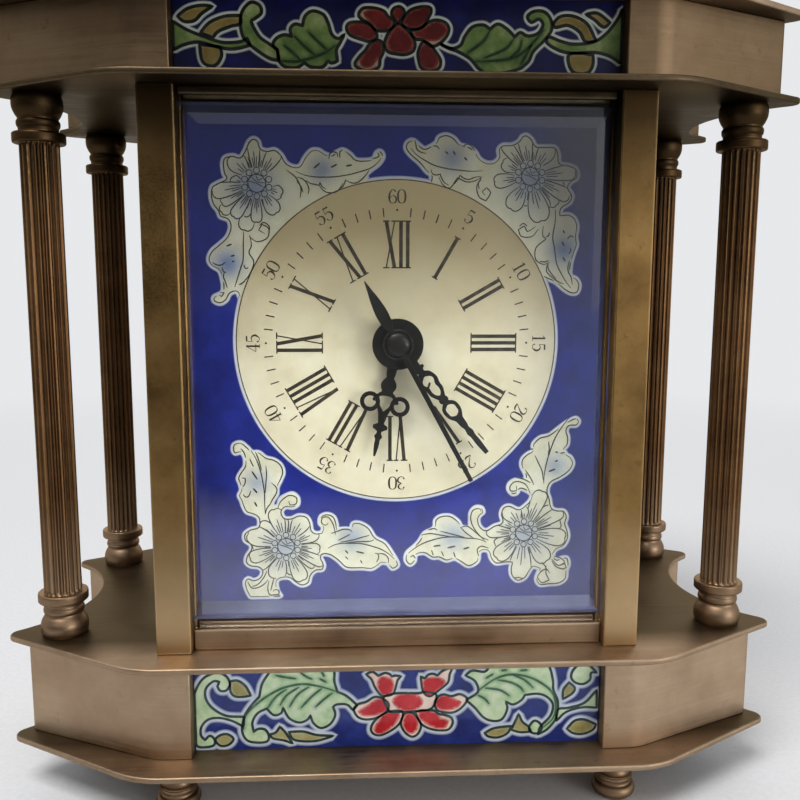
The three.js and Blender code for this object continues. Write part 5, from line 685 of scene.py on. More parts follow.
TURNED_SHADE_AND_LIGHT = ((54, 42, 27), (150, 128, 104))
PLATE_TOP_SHADE = (50, 43, 31)
CEILING_SHADE = (30, 25, 16)
DEEP = (5, 9, 54)
BLUE = (29, 48, 122)
DIAL_BLUE = (21, 33, 124)
DISC_TOP_SHADE = (160, 143, 103)
materials = {
    "post": metal("post_bronze", BRONZE, ALL_WAYS, (0.34, 0.44), 0.0007, 0.06, None, POST_SHELTER, POST_SHADE_AND_LIGHT),
    "rail": metal("rail_bronze", BRONZE, ALONG_X, (0.28, 0.46), 0.0007, 0.14),
    # A darker copy of the wall bronze for the top tier: painted shade.
    "dull": metal("shaded_wall_bronze", SHADED_BLOCK, LEVEL, (0.32, 0.48), 0.0006, 0.16),
    "shady": metal("shady_bronze", SHADY, ALONG_X, (0.32, 0.46), 0.0008, 0.14, CEILING_SHADE),
    "wall": metal("wall_bronze", BLOCK, LEVEL, (0.32, 0.48), 0.0006, 0.16),
    "plate": metal("plate_bronze", DARK, ALONG_X, (0.38, 0.5), 0.0008, 0.14, PLATE_TOP_SHADE),
    "sill": metal("sill_bronze", DARK, ALONG_X, (0.38, 0.5), 0.0008, 0.14, PLATE_TOP_SHADE, SILL_SHELTER),
    "turned": metal("turned_bronze", TURNED, LEVEL, (0.32, 0.46), 0.0004, 0.1, shade_and_light=TURNED_SHADE_AND_LIGHT),
    "brass": metal("brass", BRASS, ALL_WAYS, (0.2, 0.36), 0.0003, 0.08),
    "steel": metal("steel", STEEL, ALL_WAYS, (0.2, 0.34), 0.0003),
    "black": enamel("black_lacquer", ((16, 13, 10), (24, 20, 16), (32, 28, 22)), None, 300, (0.3, 0.4), 0.15,
                    0.25),
    "glass": glass("glass", 1.0),
    "pane": glass("pane", 0.3),
    # The last colour of the dial's blue, the pan, the sprays and the white rim is painted shade towards the
    # top.
    "dial_blue": printed("dial_blue", ((14, 22, 104), DIAL_BLUE, (32, 44, 148)), shade_higher_up=(10, 14, 70)),
    "pan": printed("grey_blue", ((70, 76, 112), (84, 90, 126), (98, 104, 140)), shade_higher_up=(22, 26, 50)),
    "panel_blue": enamel("panel_blue", ((20, 33, 98), BLUE, (44, 64, 150))),
    # The top panel's blue is darker than the base's: partly its own colour, partly painted shade.
    "deep_blue": dim("deep_blue", ((3, 6, 36), DEEP, (10, 16, 76))),
    "cream": printed("cream", ((214, 205, 172), (230, 222, 190), (240, 234, 208)), DISC_TOP_SHADE, 90),
    "ink": printed("ink", ((42, 36, 27), (58, 51, 39), (82, 74, 58)), None, 500),
    "spray": printed("spray", ((216, 214, 182), (230, 228, 200), (240, 240, 218)), (74, 116, 180), 220,
                     (126, 118, 90)),
    "olive": printed("olive_line", ((36, 38, 28), (50, 51, 38), (72, 72, 56)), None, 500),
    "rim": printed("white_rim", ((200, 208, 222), (214, 221, 232), (228, 233, 240)), DIAL_BLUE, 220,
                   (112, 114, 134)),
    "halo": enamel("halo", ((188, 204, 228), (208, 220, 236), (224, 232, 240)), BLUE),
    # This and the other top_ colours are darker than the base panel's: partly their own colour, partly
    # painted shade.
    "top_halo": dim("top_halo", ((138, 145, 140), (160, 166, 158), (180, 183, 172)), DEEP),
    "line": enamel("dark_line", ((30, 48, 48), (46, 68, 66), (68, 92, 88)), None, 500),
    "top_line": dim("black_line", ((12, 15, 12), (20, 24, 19), (36, 39, 32)), None, 500),
    "vein": enamel("green_vein", ((48, 86, 62), (64, 106, 78), (92, 134, 104)), None, 500),
    "top_vein": dim("dark_vein", ((16, 34, 11), (26, 48, 19), (44, 66, 33)), None, 500),
    "leaf": enamel("mint", ((172, 210, 160), (206, 229, 188), (230, 241, 218)), (84, 144, 96), 320),
    "bud": enamel("ochre", ((140, 132, 76), (168, 160, 104), (192, 186, 136)), (214, 214, 188)),
    "petal": enamel("pale_petal", ((234, 208, 194), (246, 228, 214), (250, 240, 230)), (226, 150, 142)),
    "red": enamel("red", ((172, 20, 36), (202, 38, 50), (224, 72, 76)), (236, 196, 184)),
    # The top panel's fills: partly their own colour, partly painted shade.
    "top_leaf": dim("leaf_green", ((60, 84, 34), (94, 112, 60), (138, 144, 102)), (22, 52, 16), 200),
    "top_bud": dim("shaded_ochre", ((86, 71, 28), (110, 94, 45), (132, 118, 72)), (140, 132, 104)),
    "top_petal": dim("cream_petal", ((112, 90, 72), (138, 118, 96), (158, 140, 118)), (80, 33, 27)),
    "top_red": dim("dark_red", ((50, 8, 6), (74, 13, 10), (98, 28, 21)), (124, 68, 52)),
}


# Meshes
def make(name, points, faces, material, body, slot, tones=None, sharp=38):
    """A closed mesh from points in millimetres, shaded smooth except at its sharp edges."""
    shape = bmesh.new()
    corners = [shape.verts.new([part * MM for part in point]) for point in points]
    for face in faces:
        shape.faces.new([corners[index] for index in face])
    bmesh.ops.recalc_face_normals(shape, faces=shape.faces)
    mesh = bpy.data.meshes.new(name)
    shape.to_mesh(mesh)
    shape.free()
    mesh.materials.append(materials[material])
    mesh.polygons.foreach_set("use_smooth", [True] * len(mesh.polygons))
    mesh.set_sharp_from_angle(angle=math.radians(sharp))
    if tones:
        mesh.attributes.new("tone", "FLOAT", "POINT").data.foreach_set("value", tones)
    piece = bpy.data.objects.new(name, mesh)
    bpy.context.collection.objects.link(piece)
    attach(piece, body)
    return piece


def soften(piece, width, angle=50):
    """Rounds the sharp edges of a piece."""
    edges = piece.modifiers.new("edges", "BEVEL")
    edges.width = width * MM
    edges.segments = 2
    edges.limit_method = "ANGLE"
    edges.angle_limit = math.radians(angle)
    edges.use_clamp_overlap = True


# Flat lines
SHARP_TURN = math.radians(88)
SHORTEST_RUN = 4
LATTICE_MARGIN = 0.45


def parse(words):
    """Numbers of the listed points, and which of them are sharp corners."""
    points = [tuple(float(part) for part in word.rstrip("|").split(",")) for word in words]
    return points, [word.endswith("|") for word in words]


def curve(words, closed=True, step=0.4):
    """A smooth line through the listed points, broken only at corners and sharp turns."""
    points, corners = parse(words.split() if isinstance(words, str) else words)
    count = len(points)
    for index in range(0 if closed else 1, count if closed else count - 1):
        before = Vector(points[index]).to_2d() - Vector(points[index - 1]).to_2d()
        after = Vector(points[(index + 1) % count]).to_2d() - Vector(points[index]).to_2d()
        corners[index] = corners[index] or before.angle(after) > SHARP_TURN
    line = []
    for index in range(count if closed else count - 1):
        start = Vector(points[index])
        end = Vector(points[(index + 1) % count])
        before = Vector(points[index - 1]) if closed or index else start
        after = Vector(points[(index + 2) % count]) if closed or index + 2 < count else end
        leave = end - start if corners[index] else (end - before) / 2
        arrive = end - start if corners[(index + 1) % count] else (after - start) / 2
        pieces = max(1, math.ceil((end - start).length / step))
        for part in range(pieces):
            t = part / pieces
            s = 1 - t
            line.append(start * (1 + 2 * t) * s * s + leave * t * s * s
                        + end * (3 - 2 * t) * t * t - arrive * t * t * s)
    if not closed:
        line.append(Vector(points[-1]))
    return line


def sideways(line, index, closed):
    """Unit vector to the left of a line at one of its points."""
    ahead = line[(index + 1) % len(line)] if closed or index + 1 < len(line) else line[index]
    behind = line[index - 1] if closed or index else line[index]
    along = (ahead - behind).to_2d().normalized()
    return Vector((-along.y, along.x))


def shifted(line, by):
    """A closed line moved outwards."""
    area = sum(line[index - 1].cross(line[index]) for index in range(len(line)))
    side = -1 if area > 0 else 1
    return [point + sideways(line, index, True) * by * side for index, point in enumerate(line)]


def circle(centre, radius, count=48, start=0.0, end=math.tau):
    middle = Vector(centre)
    steps = [start + (end - start) * part / count for part in range(count)]
    return [middle + Vector((math.cos(angle), math.sin(angle))) * radius for angle in steps]


def inside(point, outline):
    within = False
    for index, first in enumerate(outline):
        second = outline[index - 1]
        if (first[1] > point[1]) != (second[1] > point[1]):
            share = (point[1] - first[1]) / (second[1] - first[1])
            if point[0] < first[0] + share * (second[0] - first[0]):
                within = not within
    return within


def outside(outline):
    return lambda point: not inside(point, outline)


def nearest(line):
    """A function that gives the distance from a place to the closest point of a line."""
    tree = KDTree(len(line))
    for index, point in enumerate(line):
        tree.insert((point[0], point[1], 0), index)
    tree.balance()
    return lambda place: tree.find((place[0], place[1], 0))[2]


def clamped(value, low=0.0, high=1.0):
    return max(low, min(high, value))


def faded(rim, solid, fade):
    """Tone that stays low near a line and rises to one further out."""
    return lambda place: clamped((rim(place) - solid) / fade)


def lattice(outline, spacing):
    """Evenly spread points inside a closed line, kept a little away from it."""
    near = nearest(outline)
    left = min(point[0] for point in outline)
    right = max(point[0] for point in outline)
    low = min(point[1] for point in outline)
    high = max(point[1] for point in outline)
    found = []
    for row in range(1, int((high - low) / spacing) + 1):
        for column in range(1, int((right - left) / spacing) + 1):
            point = Vector((left + (column + 0.5 * (row % 2)) * spacing, low + row * spacing))
            if inside(point, outline) and near(point) > spacing * LATTICE_MARGIN:
                found.append(point)
    return found


def runs(line, wanted):
    """Stretches of a line whose points are wanted."""
    found = [[]]
    for point in line:
        if wanted(point):
            found[-1].append(point)
        elif found[-1]:
            found.append([])
    return [run for run in found if len(run) >= SHORTEST_RUN]


def drawing(text):
    """Rows of a drawing as pairs of a kind and its points."""
    rows = []
    for line in text.strip().split("\n"):
        if line.startswith(" "):
            rows[-1][1].extend(line.split())
        else:
            kind, *words = line.split()
            rows.append((kind, words))
    return rows


# Raised shapes; those of one layer lie a hair apart, so that no two of them share a face
STEP_DOWN = 0.0015
STEPS = 12
RIBBON_FLAT = 0.75


class Layer:
    """Flat raised shapes of one colour on a face that looks to the front."""

    def __init__(self, name, origin_z, front, back, material, slot, body="case"):
        self.name = name
        self.origin_z = origin_z
        self.front = front
        self.back = back
        self.material = material
        self.slot = slot
        self.body = body
        self.points = []
        self.faces = []
        self.tones = []
        self.count = 0

    def put(self, flat, depth, tone):
        self.points.append((flat[0], depth, flat[1] + self.origin_z))
        self.tones.append(tone)
        return len(self.points) - 1

    def region(self, outlines, tone=None, keep=None, spacing=None):
        """A raised area inside closed lines, less what isn't kept; points inside it carry a changing tone."""
        flats = []
        edges = []
        for outline in outlines:
            first = len(flats)
            flats += [Vector(point[:2]) for point in outline]
            edges += [(first + index, first + (index + 1) % len(outline)) for index in range(len(outline))]
        if spacing:
            flats += lattice(outlines[0], spacing)
        flats, _, triangles, *_ = delaunay_2d_cdt(flats, edges, [], 1, 1e-4)
        if keep:
            middles = [sum((flats[index] for index in corners), Vector((0, 0))) / 3 for corners in triangles]
            triangles = [corners for corners, middle in zip(triangles, middles) if keep(middle)]
        used = sorted({index for triangle in triangles for index in triangle})
        values = {index: tone(flats[index]) if tone else 0.0 for index in used}
        self.count += 1
        level = self.front + STEP_DOWN * (self.count % STEPS)
        front = {index: self.put(flats[index], level, values[index]) for index in used}
        back = {index: self.put(flats[index], self.back, values[index]) for index in used}
        sides = set()
        for triangle in triangles:
            self.faces.append([front[index] for index in triangle])
            self.faces.append([back[index] for index in reversed(triangle)])
            for place in range(3):
                pair = (triangle[place], triangle[(place + 1) % 3])
                if pair[::-1] in sides:
                    sides.remove(pair[::-1])
                else:
                    sides.add(pair)
        for first, second in sorted(sides):
            self.faces.append([front[second], front[first], back[first], back[second]])

    def ribbon(self, line, width, closed=False, tips=1.0):
        """A raised line; its width may follow a third number of each point, and its tips may be finer."""
        rows = []
        last = len(line) - 1
        for index, point in enumerate(line):
            along = 1.0 if closed else min(1.0, 4 * min(index, last - index) / max(last, 1))
            broad = (point[2] if len(point) > 2 else width) * (tips + (1 - tips) * along) / 2
            side = sideways(line, index, closed)
            flat = Vector(point[:2])
            rows.append([
                self.put(flat + side * broad * RIBBON_FLAT, self.front, 0.0),
                self.put(flat - side * broad * RIBBON_FLAT, self.front, 0.0),
                self.put(flat - side * broad, self.back, 0.0),
                self.put(flat + side * broad, self.back, 0.0),
            ])
        pairs = zip(rows, rows[1:] + rows[:1]) if closed else zip(rows, rows[1:])
        for near, far in pairs:
            for place in range(4):
                after = (place + 1) % 4
                self.faces.append([near[place], near[after], far[after], far[place]])
        if not closed:
            self.faces.append(rows[0])
            self.faces.append(rows[-1][::-1])

    def done(self, *nodes):
        piece = make(self.name, self.points, self.faces, self.material, self.body, self.slot, self.tones,
                     sharp=50)
        if nodes:
            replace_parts(piece, *nodes)
        return piece


# Enamel panels: a pale glow, filled shapes and dark outlines, each a little prouder than the last
PANEL_STYLES = {
    "base": dict(prefix="", outline=0.6, vein=0.56, growth=0.42, halo=0.62, fade=0.5),
    "top": dict(prefix="top_", outline=0.72, vein=0.66, growth=0.5, halo=0.6, fade=0.28),
}
VEIN_TIPS = 0.4
VEIN_SHADE = (0.8, 0.95)
RIM_SHADES = {"leaf": (0.2, 0.9), "red": (0.85, 0.45), "bud": (0.85, 0.5), "petal": (0.85, 0.5)}
FILL_SPACING = 0.5


def clamp_into(line, height):
    """Keeps a line on its panel."""
    return [Vector((clamped(x, -HALF_PANEL, HALF_PANEL), clamped(y, 0, height))) for x, y in line]


def shading(kind, rim, by_vein):
    """Tone of a filled shape: deepest at its rim and, on a leaf, along its veins."""
    depth, fade = RIM_SHADES[kind]
    vein_depth, vein_fade = VEIN_SHADE

    def tone(place):
        found = depth - rim(place) / fade
        if kind == "leaf":
            found = max(found, vein_depth - by_vein(place) / vein_fade)
        return max(0.0, found)

    return tone


def dress_panel(tier, text):
    bottom, height = TIERS[tier]
    style = PANEL_STYLES[tier]
    rows = drawing(text)
    veins = [curve(words, False) for kind, words in rows if kind == "vein"]
    by_vein = nearest([point for vein in veins for point in vein])
    layer = {}
    for kind, proud in PANEL_PROUD.items():
        layer[kind] = Layer(f"{tier}_{kind}", bottom, PANEL_FRONT - proud, PANEL_FRONT + BEDDED,
                            style["prefix"] + kind, "blue_enamel")
    for vein in veins:
        layer["vein"].ribbon(vein, style["vein"], False, VEIN_TIPS)
    reach = style["halo"] + style["fade"]
    edges = []
    glows = []
    for kind, words in rows:
        if kind == "vein":
            continue
        outline = curve(words)
        if kind == "red":
            outline = shifted(outline, style["growth"])
        outline = clamp_into(outline, height)
        layer[kind].region([outline], shading(kind, nearest(outline), by_vein), spacing=FILL_SPACING)
        if kind != "red":
            layer["line"].ribbon(outline, style["outline"], True)
            edges += outline
            glows += [clamp_into(shifted(outline, by), height) for by in (0, style["halo"], reach)]
    edge = nearest(edges)
    layer["halo"].region(glows, faded(edge, style["halo"], style["fade"]), lambda place: edge(place) < reach)
    for made in layer.values():
        made.done()


dress_panel("base", BASE_DRAWING)
dress_panel("top", TOP_DRAWING)


# Dial: cream disc, flower sprays, numerals, figures and minute marks
def dial_layer(name, material):
    front = DIAL_FRONT - DIAL_PROUD[name]
    return Layer(f"dial_{name}", DIAL_Z, front, DIAL_FRONT + BEDDED, material, "blue_enamel")


def outward(angle):
    """Directions at a place on the dial: to the right and away from the centre."""
    return Vector((math.cos(angle), -math.sin(angle))), Vector((math.sin(angle), math.cos(angle)))


RIM_UNDER = 0.4
RIM_SOLID = 0.3
RIM_FADE = 0.3
disc = dial_layer("disc", "cream")
# The disc's tone is painted shade that deepens towards its top.
disc.region([circle((0, 0), radius, count) for radius, count in DISC_BANDS],
            lambda place: clamped(DISC_SHADE + place.y / DISC_SHADE_RISE, 0.0, DISC_SHADE_TOP))
disc.done()
disc_rim = dial_layer("rim", "rim")
rim_reaches = (-RIM_UNDER, RIM_SOLID, RIM_SOLID + RIM_FADE)
disc_rim.region([circle((0, 0), DISC_RADIUS + reach, DISC_SIDES) for reach in rim_reaches],
                lambda place: clamped((place.length - DISC_RADIUS - RIM_SOLID) / RIM_FADE),
                lambda place: place.length > DISC_RADIUS - RIM_UNDER)
disc_rim.done()

STROKES = {"line": 0.3, "dash": 0.42}
SPRAY_TIPS = 0.5
SPRAY_SPACING = 0.8
SPRAY_RIM = (0.22, 0.28)
SPRAY_EDGE_INSET = 0.25
DRAWN_NEAR = 0.3
UPPER_WASH = 0.95
LOWER_WASH = 0.55
spray_fill = dial_layer("spray", "spray")
spray_rim = dial_layer("spray_rim", "rim")
spray_line = dial_layer("spray_line", "olive")
spray_rows = drawing(SPRAY_DRAWING)
spray_edges = []
single_lines = [curve(words, False) for kind, words in spray_rows if kind == "line"]
drawn_lines = nearest([point for line in single_lines for point in line])


def spray_tint(place):
    washes = [math.exp(-((place - Vector((x, y))).length / size) ** 2) for x, y, size in SPRAY_TINTS]
    return (UPPER_WASH if place.y > 0 else LOWER_WASH) * max(washes)


def undrawn(place):
    """Off the disc, and away from the lines that are drawn one by one."""
    return place.length > DISC_RADIUS and drawn_lines(place) > DRAWN_NEAR


def spray(words):
    """A cream cut-out with a white rim and a fine line along its edge."""
    outline = curve(words)
    solid, fade = SPRAY_RIM
    spray_fill.region([outline], spray_tint, spacing=SPRAY_SPACING)
    rings = [outline, shifted(outline, solid), shifted(outline, solid + fade)]
    spray_rim.region(rings, faded(nearest(outline), solid, fade))
    edge = shifted(outline, -SPRAY_EDGE_INSET)
    spray_edges.append(edge)
    for run in runs([*edge, edge[0]], undrawn):
        spray_line.ribbon(run, STROKES["line"], False, SPRAY_TIPS)


# A petal's side is listed as its share of the length, its spread and how far it is trimmed, in half widths;
# its strokes as their spread at the heart and at the end, and their share of the length;
# the bud's arcs as half their angle and the reach of their middle, in parts of the bud's radius
HEART_RADIUS = 3.1
BUD_RADIUS = 1.75
BEAD_RADIUS = 0.6
BEADS = 10
PETAL_SIDE = ((0, 0.5, 0), (0.45, 0.86, 0.3), (1, 1, 0.85), (1, 0.72, 0.2), (1, 0.3, 0), (1, 0, 0.08))
PETAL_STROKES = ((-0.2, -0.34, 0.4), (0.02, 0.05, 0.58), (0.22, 0.36, 0.36))
BUD_ARCS = ((0.5, 0.35), (1.1, 0.17), (1.7, -0.01))
BUD_REACH = 0.9
BUD_TILT = 0.4
PETAL_EDGE = 0.29
PETAL_STROKE = 0.23
BUD_EDGE = 0.26
BUD_STROKE = 0.22
PETAL_TIPS = 0.6


def petal_spot(middle, tip, half, share, spread, trim=0.0):
    """A place on a petal that reaches from the flower's heart to its tip."""
    out = tip - middle
    along = out.normalized()
    aside = Vector((-along.y, along.x)) * half
    length = out.length - HEART_RADIUS
    return middle + along * (HEART_RADIUS + share * length - trim * half) + aside * spread


def flower(words):
    """Overlapping rounded petals with a few strokes each, round a ring of beads and a bud of curved lines."""
    (heart, *petals), _ = parse(words)
    middle = Vector(heart)
    ground = next(edge for edge in spray_edges if inside(middle, edge))
    front = []

    def seen(place):
        return inside(place, ground) and not any(inside(place, petal) for petal in front)

    def drawn(places, width):
        line = curve([f"{place.x:.3f},{place.y:.3f}" for place in places], False)
        for run in runs(line, seen):
            spray_line.ribbon(run, width, False, PETAL_TIPS)
        return line

    for x, y, half in petals:
        at = partial(petal_spot, middle, Vector((x, y)), half)
        left = [at(share, -spread, trim) for share, spread, trim in PETAL_SIDE]
        right = [at(share, spread, trim) for share, spread, trim in PETAL_SIDE[-2::-1]]
        edge = drawn(left + right, PETAL_EDGE)
        for start, end, share in PETAL_STROKES:
            drawn([at(0, start), at(share, end)], PETAL_STROKE)
        front.append(edge)
    for bead in range(BEADS):
        spot = middle + outward(bead * math.tau / BEADS)[1] * (HEART_RADIUS - BEAD_RADIUS)
        spray_line.ribbon(circle(spot, BEAD_RADIUS, 16), BUD_STROKE, True)
    spray_line.ribbon(circle(middle, BUD_RADIUS, 30), BUD_EDGE, True)
    for half, sag in BUD_ARCS:
        arc = ((BUD_REACH, BUD_TILT - half), (sag, BUD_TILT), (BUD_REACH, BUD_TILT + half))
        drawn([middle + outward(angle)[1] * reach * BUD_RADIUS for reach, angle in arc], BUD_STROKE)


for kind, words in spray_rows:
    if kind == "spray":
        spray(words)
    elif kind in STROKES:
        spray_line.ribbon(curve(words, False), STROKES[kind], False, SPRAY_TIPS)
for kind, words in spray_rows:
    if kind == "flower":
        flower(words)
for made in (spray_fill, spray_rim, spray_line):
    made.done()

ink = dial_layer("ink", "ink")


def stroke(angle, start, end, width):
    """A straight printed stroke between two places given as across and distance from the centre."""
    right, up = outward(angle)
    first = right * start[0] + up * start[1]
    second = right * end[0] + up * end[1]
    aside = right * width / 2
    ink.region([[first - aside, first + aside, second + aside, second - aside]])


def serif(angle, across, height, reach):
    right, up = outward(angle)
    low = right * (across - reach) + up * (height - THIN_WIDTH / 2)
    high = up * THIN_WIDTH
    ink.region([[low, low + right * 2 * reach, low + right * 2 * reach + high, low + high]])


def roman(letters, angle):
    low = NUMERAL_INNER
    top = NUMERAL_OUTER
    across = -sum(LETTER_ADVANCE[letter] for letter in letters) / 2
    for letter in letters:
        advance = LETTER_ADVANCE[letter]
        middle = across + advance / 2
        spread = advance / 2 - LETTER_MARGIN
        if letter == "I":
            stroke(angle, (middle, low), (middle, top), BAR_WIDTH)
            marks = [(middle, end, I_SERIF) for end in (low, top)]
        elif letter == "V":
            stroke(angle, (middle - spread, top), (middle, low), BAR_WIDTH)
            stroke(angle, (middle + spread, top), (middle, low), THIN_WIDTH)
            marks = [(middle + side * spread, top, reach) for side, reach in zip((-1, 1), V_SERIFS)]
        else:
            stroke(angle, (middle - spread, top), (middle + spread, low), BAR_WIDTH)
            stroke(angle, (middle + spread, top), (middle - spread, low), THIN_WIDTH)
            marks = [(middle + side * spread, end, X_SERIF) for side in (-1, 1) for end in (low, top)]
        for place, height, reach in marks:
            serif(angle, place, height, reach)
        across += advance


def figures(text, angle):
    right, up = outward(angle)
    for index, digit in enumerate(text):
        across = (index - (len(text) - 1) / 2) * FIGURE_PITCH
        for words in FIGURES[digit]:
            flat = []
            for point in curve(words, False, FIGURE_STEP):
                x, y, width = point * FIGURE_HEIGHT
                spot = right * (across + x) + up * (FIGURE_INNER + y)
                flat.append(Vector((spot.x, spot.y, width)))
            ink.ribbon(flat, THIN_WIDTH)


for hour in range(12):
    angle = hour * math.tau / 12
    roman(ROMAN[hour], angle)
    figures(str(hour * 5 or 60), angle)
for minute in range(60):
    angle = minute * math.tau / 60
    if minute % 5:
        stroke(angle, (0, TICK_INNER), (0, TICK_OUTER), TICK_WIDTH)
    else:
        ink.region([circle(outward(angle)[1] * DOT_REACH, DOT_RADIUS, 12)])
ink.ribbon(circle((0, 0), DISC_LINE_RADIUS, 180), TICK_WIDTH, True)
ink.done()

# Sides of the dial pan, from the dial's edge forward to the glass
dial_low, dial_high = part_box("dial_plate")
left, right, low, high = (part / MM for part in (dial_low[0], dial_high[0], dial_low[2], dial_high[2]))


def pan_edge(by):
    corners = ((left + by, low + by), (right - by, low + by), (right - by, high - by), (left + by, high - by))
    return [Vector(corner) for corner in corners]


pan = Layer("dial_pan", 0, PAN_FRONT, DIAL_FRONT + PAN_BEDDED, "pan", "blue_enamel")
pan.region([pan_edge(0), pan_edge(PAN_WALL)], keep=outside(pan_edge(PAN_WALL)))
pan.done()


# Turned and bent metal
CORNER_STEPS = 16
EAR_STEPS = 14
WAIST_STEPS = 24
PROFILE_STEP = 0.3
FOOT_PROFILE = (
    "0.5,0| 3.1,0| 3.95,0.4 4.38,1.1 4.4,1.7 4.2,2.3 3.85,2.7| 3.5,2.85 3.35,3.2 3.4,3.6| 3.65,3.75 3.75,4.1 "
    "3.7,4.45| 3.55,4.55| 3.7,4.65 3.72,4.9| 3.4,5.1| 3.05,5.7 2.9,6.8 3.05,7.8 3.4,8.5| 3.6,8.6 3.7,8.8| "
    "3.7,10.5| 0.5,10.5|"
)
COLUMN_PROFILE = (
    "0.5,0| 4.3,0| 4.62,0.7 4.7,1.6 4.6,2.6 4.2,3.6 3.75,4.3| 3.7,4.6| 3.95,4.9 4,5.4 3.9,5.9| 3.7,6.2 "
    "3.7,6.9| 4.7,7.1 4.9,7.3| 4.9,8.7 4.75,9| 3.6,9| 0.5,9|"
)
EAR_FOOT_BORE = 0.4
EAR_FOOT_SHARES = ((1, 0), (1, 0.5), (0.95, 0.8), (0.85, 0.95), (0.75, 1))


def tier_outline(shape, inset=0.0):
    """Right half of a tier's outline seen from above, from the front edge to the rear edge."""
    run = shape["ear_x"] - shape["corner_x"]
    drop = shape["ear_y"] - shape["front"]
    sweep = math.atan2(drop, run) + math.asin(shape["ear_radius"] / math.hypot(run, drop))
    front = shape["front"] - inset
    corner_x = shape["corner_x"] - inset * math.tan(-sweep / 2)
    corner_radius = shape["corner_radius"] - inset
    ear_radius = shape["ear_radius"] - inset
    waist = shape["waist"] - inset
    shoulder = shape["ear_x"] - waist
    hollow = (shoulder ** 2 + shape["ear_y"] ** 2 - ear_radius ** 2) / (2 * (ear_radius + shoulder))
    meeting = math.atan2(-shape["ear_y"], waist + hollow - shape["ear_x"])
    up = math.pi / 2
    tangent = corner_radius * math.tan(-sweep / 2)
    ear = (shape["ear_x"], shape["ear_y"])
    quarter = circle((corner_x - tangent, front - corner_radius), corner_radius, CORNER_STEPS, up, up + sweep)
    quarter += circle(ear, ear_radius, EAR_STEPS, up + sweep, meeting)
    quarter += circle((waist + hollow, 0), hollow, WAIST_STEPS, meeting + math.pi, math.pi)
    nearer = [Vector((point.x, -point.y)) for point in quarter]
    return nearer + [Vector((waist, 0))] + quarter[::-1]


def stack(rings):
    """Points and faces of a closed skin through rings of equal length, each a list of places."""
    points = [tuple(point) for ring in rings for point in ring]
    count = len(rings[0])
    faces = []
    for level in range(len(rings) - 1):
        for index in range(count):
            after = (index + 1) % count
            low = level * count
            faces.append([low + index, low + after, low + count + after, low + count + index])
    faces.append(list(range(count))[::-1])
    faces.append([len(points) - count + index for index in range(count)])
    return points, faces


def rounded_levels(low, high, radius, steps=3):
    """Insets and heights of an edge rounded at the bottom and at the top."""
    turns = [part / steps * math.pi / 2 for part in range(steps + 1)]
    bottom = [(radius * (1 - math.sin(turn)), low + radius * (1 - math.cos(turn))) for turn in turns]
    top = [(radius * (1 - math.cos(turn)), high - radius * (1 - math.sin(turn))) for turn in turns]
    return bottom + top


def build_plate(node, level):
    rings = []
    for inset, height in rounded_levels(level, level + PLATE_THICKNESS, PLATE_ROUND):
        half = tier_outline(PLATE, inset + PLATE_INSET)
        whole = half + [Vector((-point.x, point.y)) for point in reversed(half)]
        rings.append([(point.x, point.y, height) for point in whole])
    finish = "shady" if node == "top_lower_plate" else "plate"
    piece = make(node.replace("plate", "slab"), *stack(rings), finish, "case", "dark_bronze")
    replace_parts(piece, node)


def build_wall(tier, side):
    bottom, height = TIERS[tier]
    outer = tier_outline(WALL)
    inner = tier_outline(WALL, WALL_THICKNESS)
    end = Vector((WALL_END_X, 0))
    lip = Vector((WALL_END_X + WALL_THICKNESS, 0))
    reach = Vector((0, WALL["front"]))
    depth = Vector((0, WALL["front"] - WALL_THICKNESS))
    tip = Vector((0, WALL_END_Y))
    loop = [end - tip, end - reach, *outer, end + reach, end + tip]
    loop += [lip + tip, lip + depth, *inner[::-1], lip - depth, lip - tip]
    rings = [[(side * point.x, point.y, level) for point in loop] for level in (bottom, bottom + height)]
    name = "right" if side > 0 else "left"
    # The top tier's walls take the darker copy of the wall bronze: painted shade.
    finish = "dull" if tier == "top" else "wall"
    piece = make(f"{tier}_wall_{name}", *stack(rings), finish, "case", "bronze", sharp=50)
    soften(piece, WALL_ROUND)
    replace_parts(piece, f"{tier}_side_{name}")


def lathe(profile, sides=56, ripple=None):
    """Points and faces turned round the Z axis from pairs of radius and height; a ripple cuts into them."""
    rings = []
    for radius, height in profile:
        ring = []
        for index in range(sides):
            angle = index * math.tau / sides
            reach = radius - (ripple(angle, height) if ripple else 0)
            ring.append((reach * math.cos(angle), reach * math.sin(angle), height))
        rings.append(ring)
    return stack(rings)


def turned_profile(words):
    """Pairs of radius and height along a listed profile."""
    return [(point.x, point.y) for point in curve(words, False, PROFILE_STEP)]


def merged(*shapes):
    """Several closed skins as one list of points and faces."""
    points = []
    faces = []
    for some_points, some_faces in shapes:
        shift = len(points)
        points += some_points
        faces += [[index + shift for index in face] for face in some_faces]
    return points, faces


def moved(shape, matrix):
    return [tuple(matrix @ Vector(point)) for point in shape[0]], shape[1]


def build_foot(name, x, y):
    shape = moved(lathe(turned_profile(FOOT_PROFILE)), Matrix.Translation((x, y, 0)))
    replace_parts(make(f"turned_{name}", *shape, "turned", "case", "dark_bronze"), name)


def flute(angle, height):
    """Depth of the round flutes at one place of the shaft; they run out at its ends."""
    share = angle * FLUTES / math.tau % 1
    end = min(height - COLUMN_END, COLUMN_HEIGHT - COLUMN_END - height)
    fade = clamped(end / FLUTE_RUNOUT)
    return FLUTE_DEPTH * math.sin(math.pi * min(1.0, share / FLUTE_SHARE)) * math.sqrt(fade)


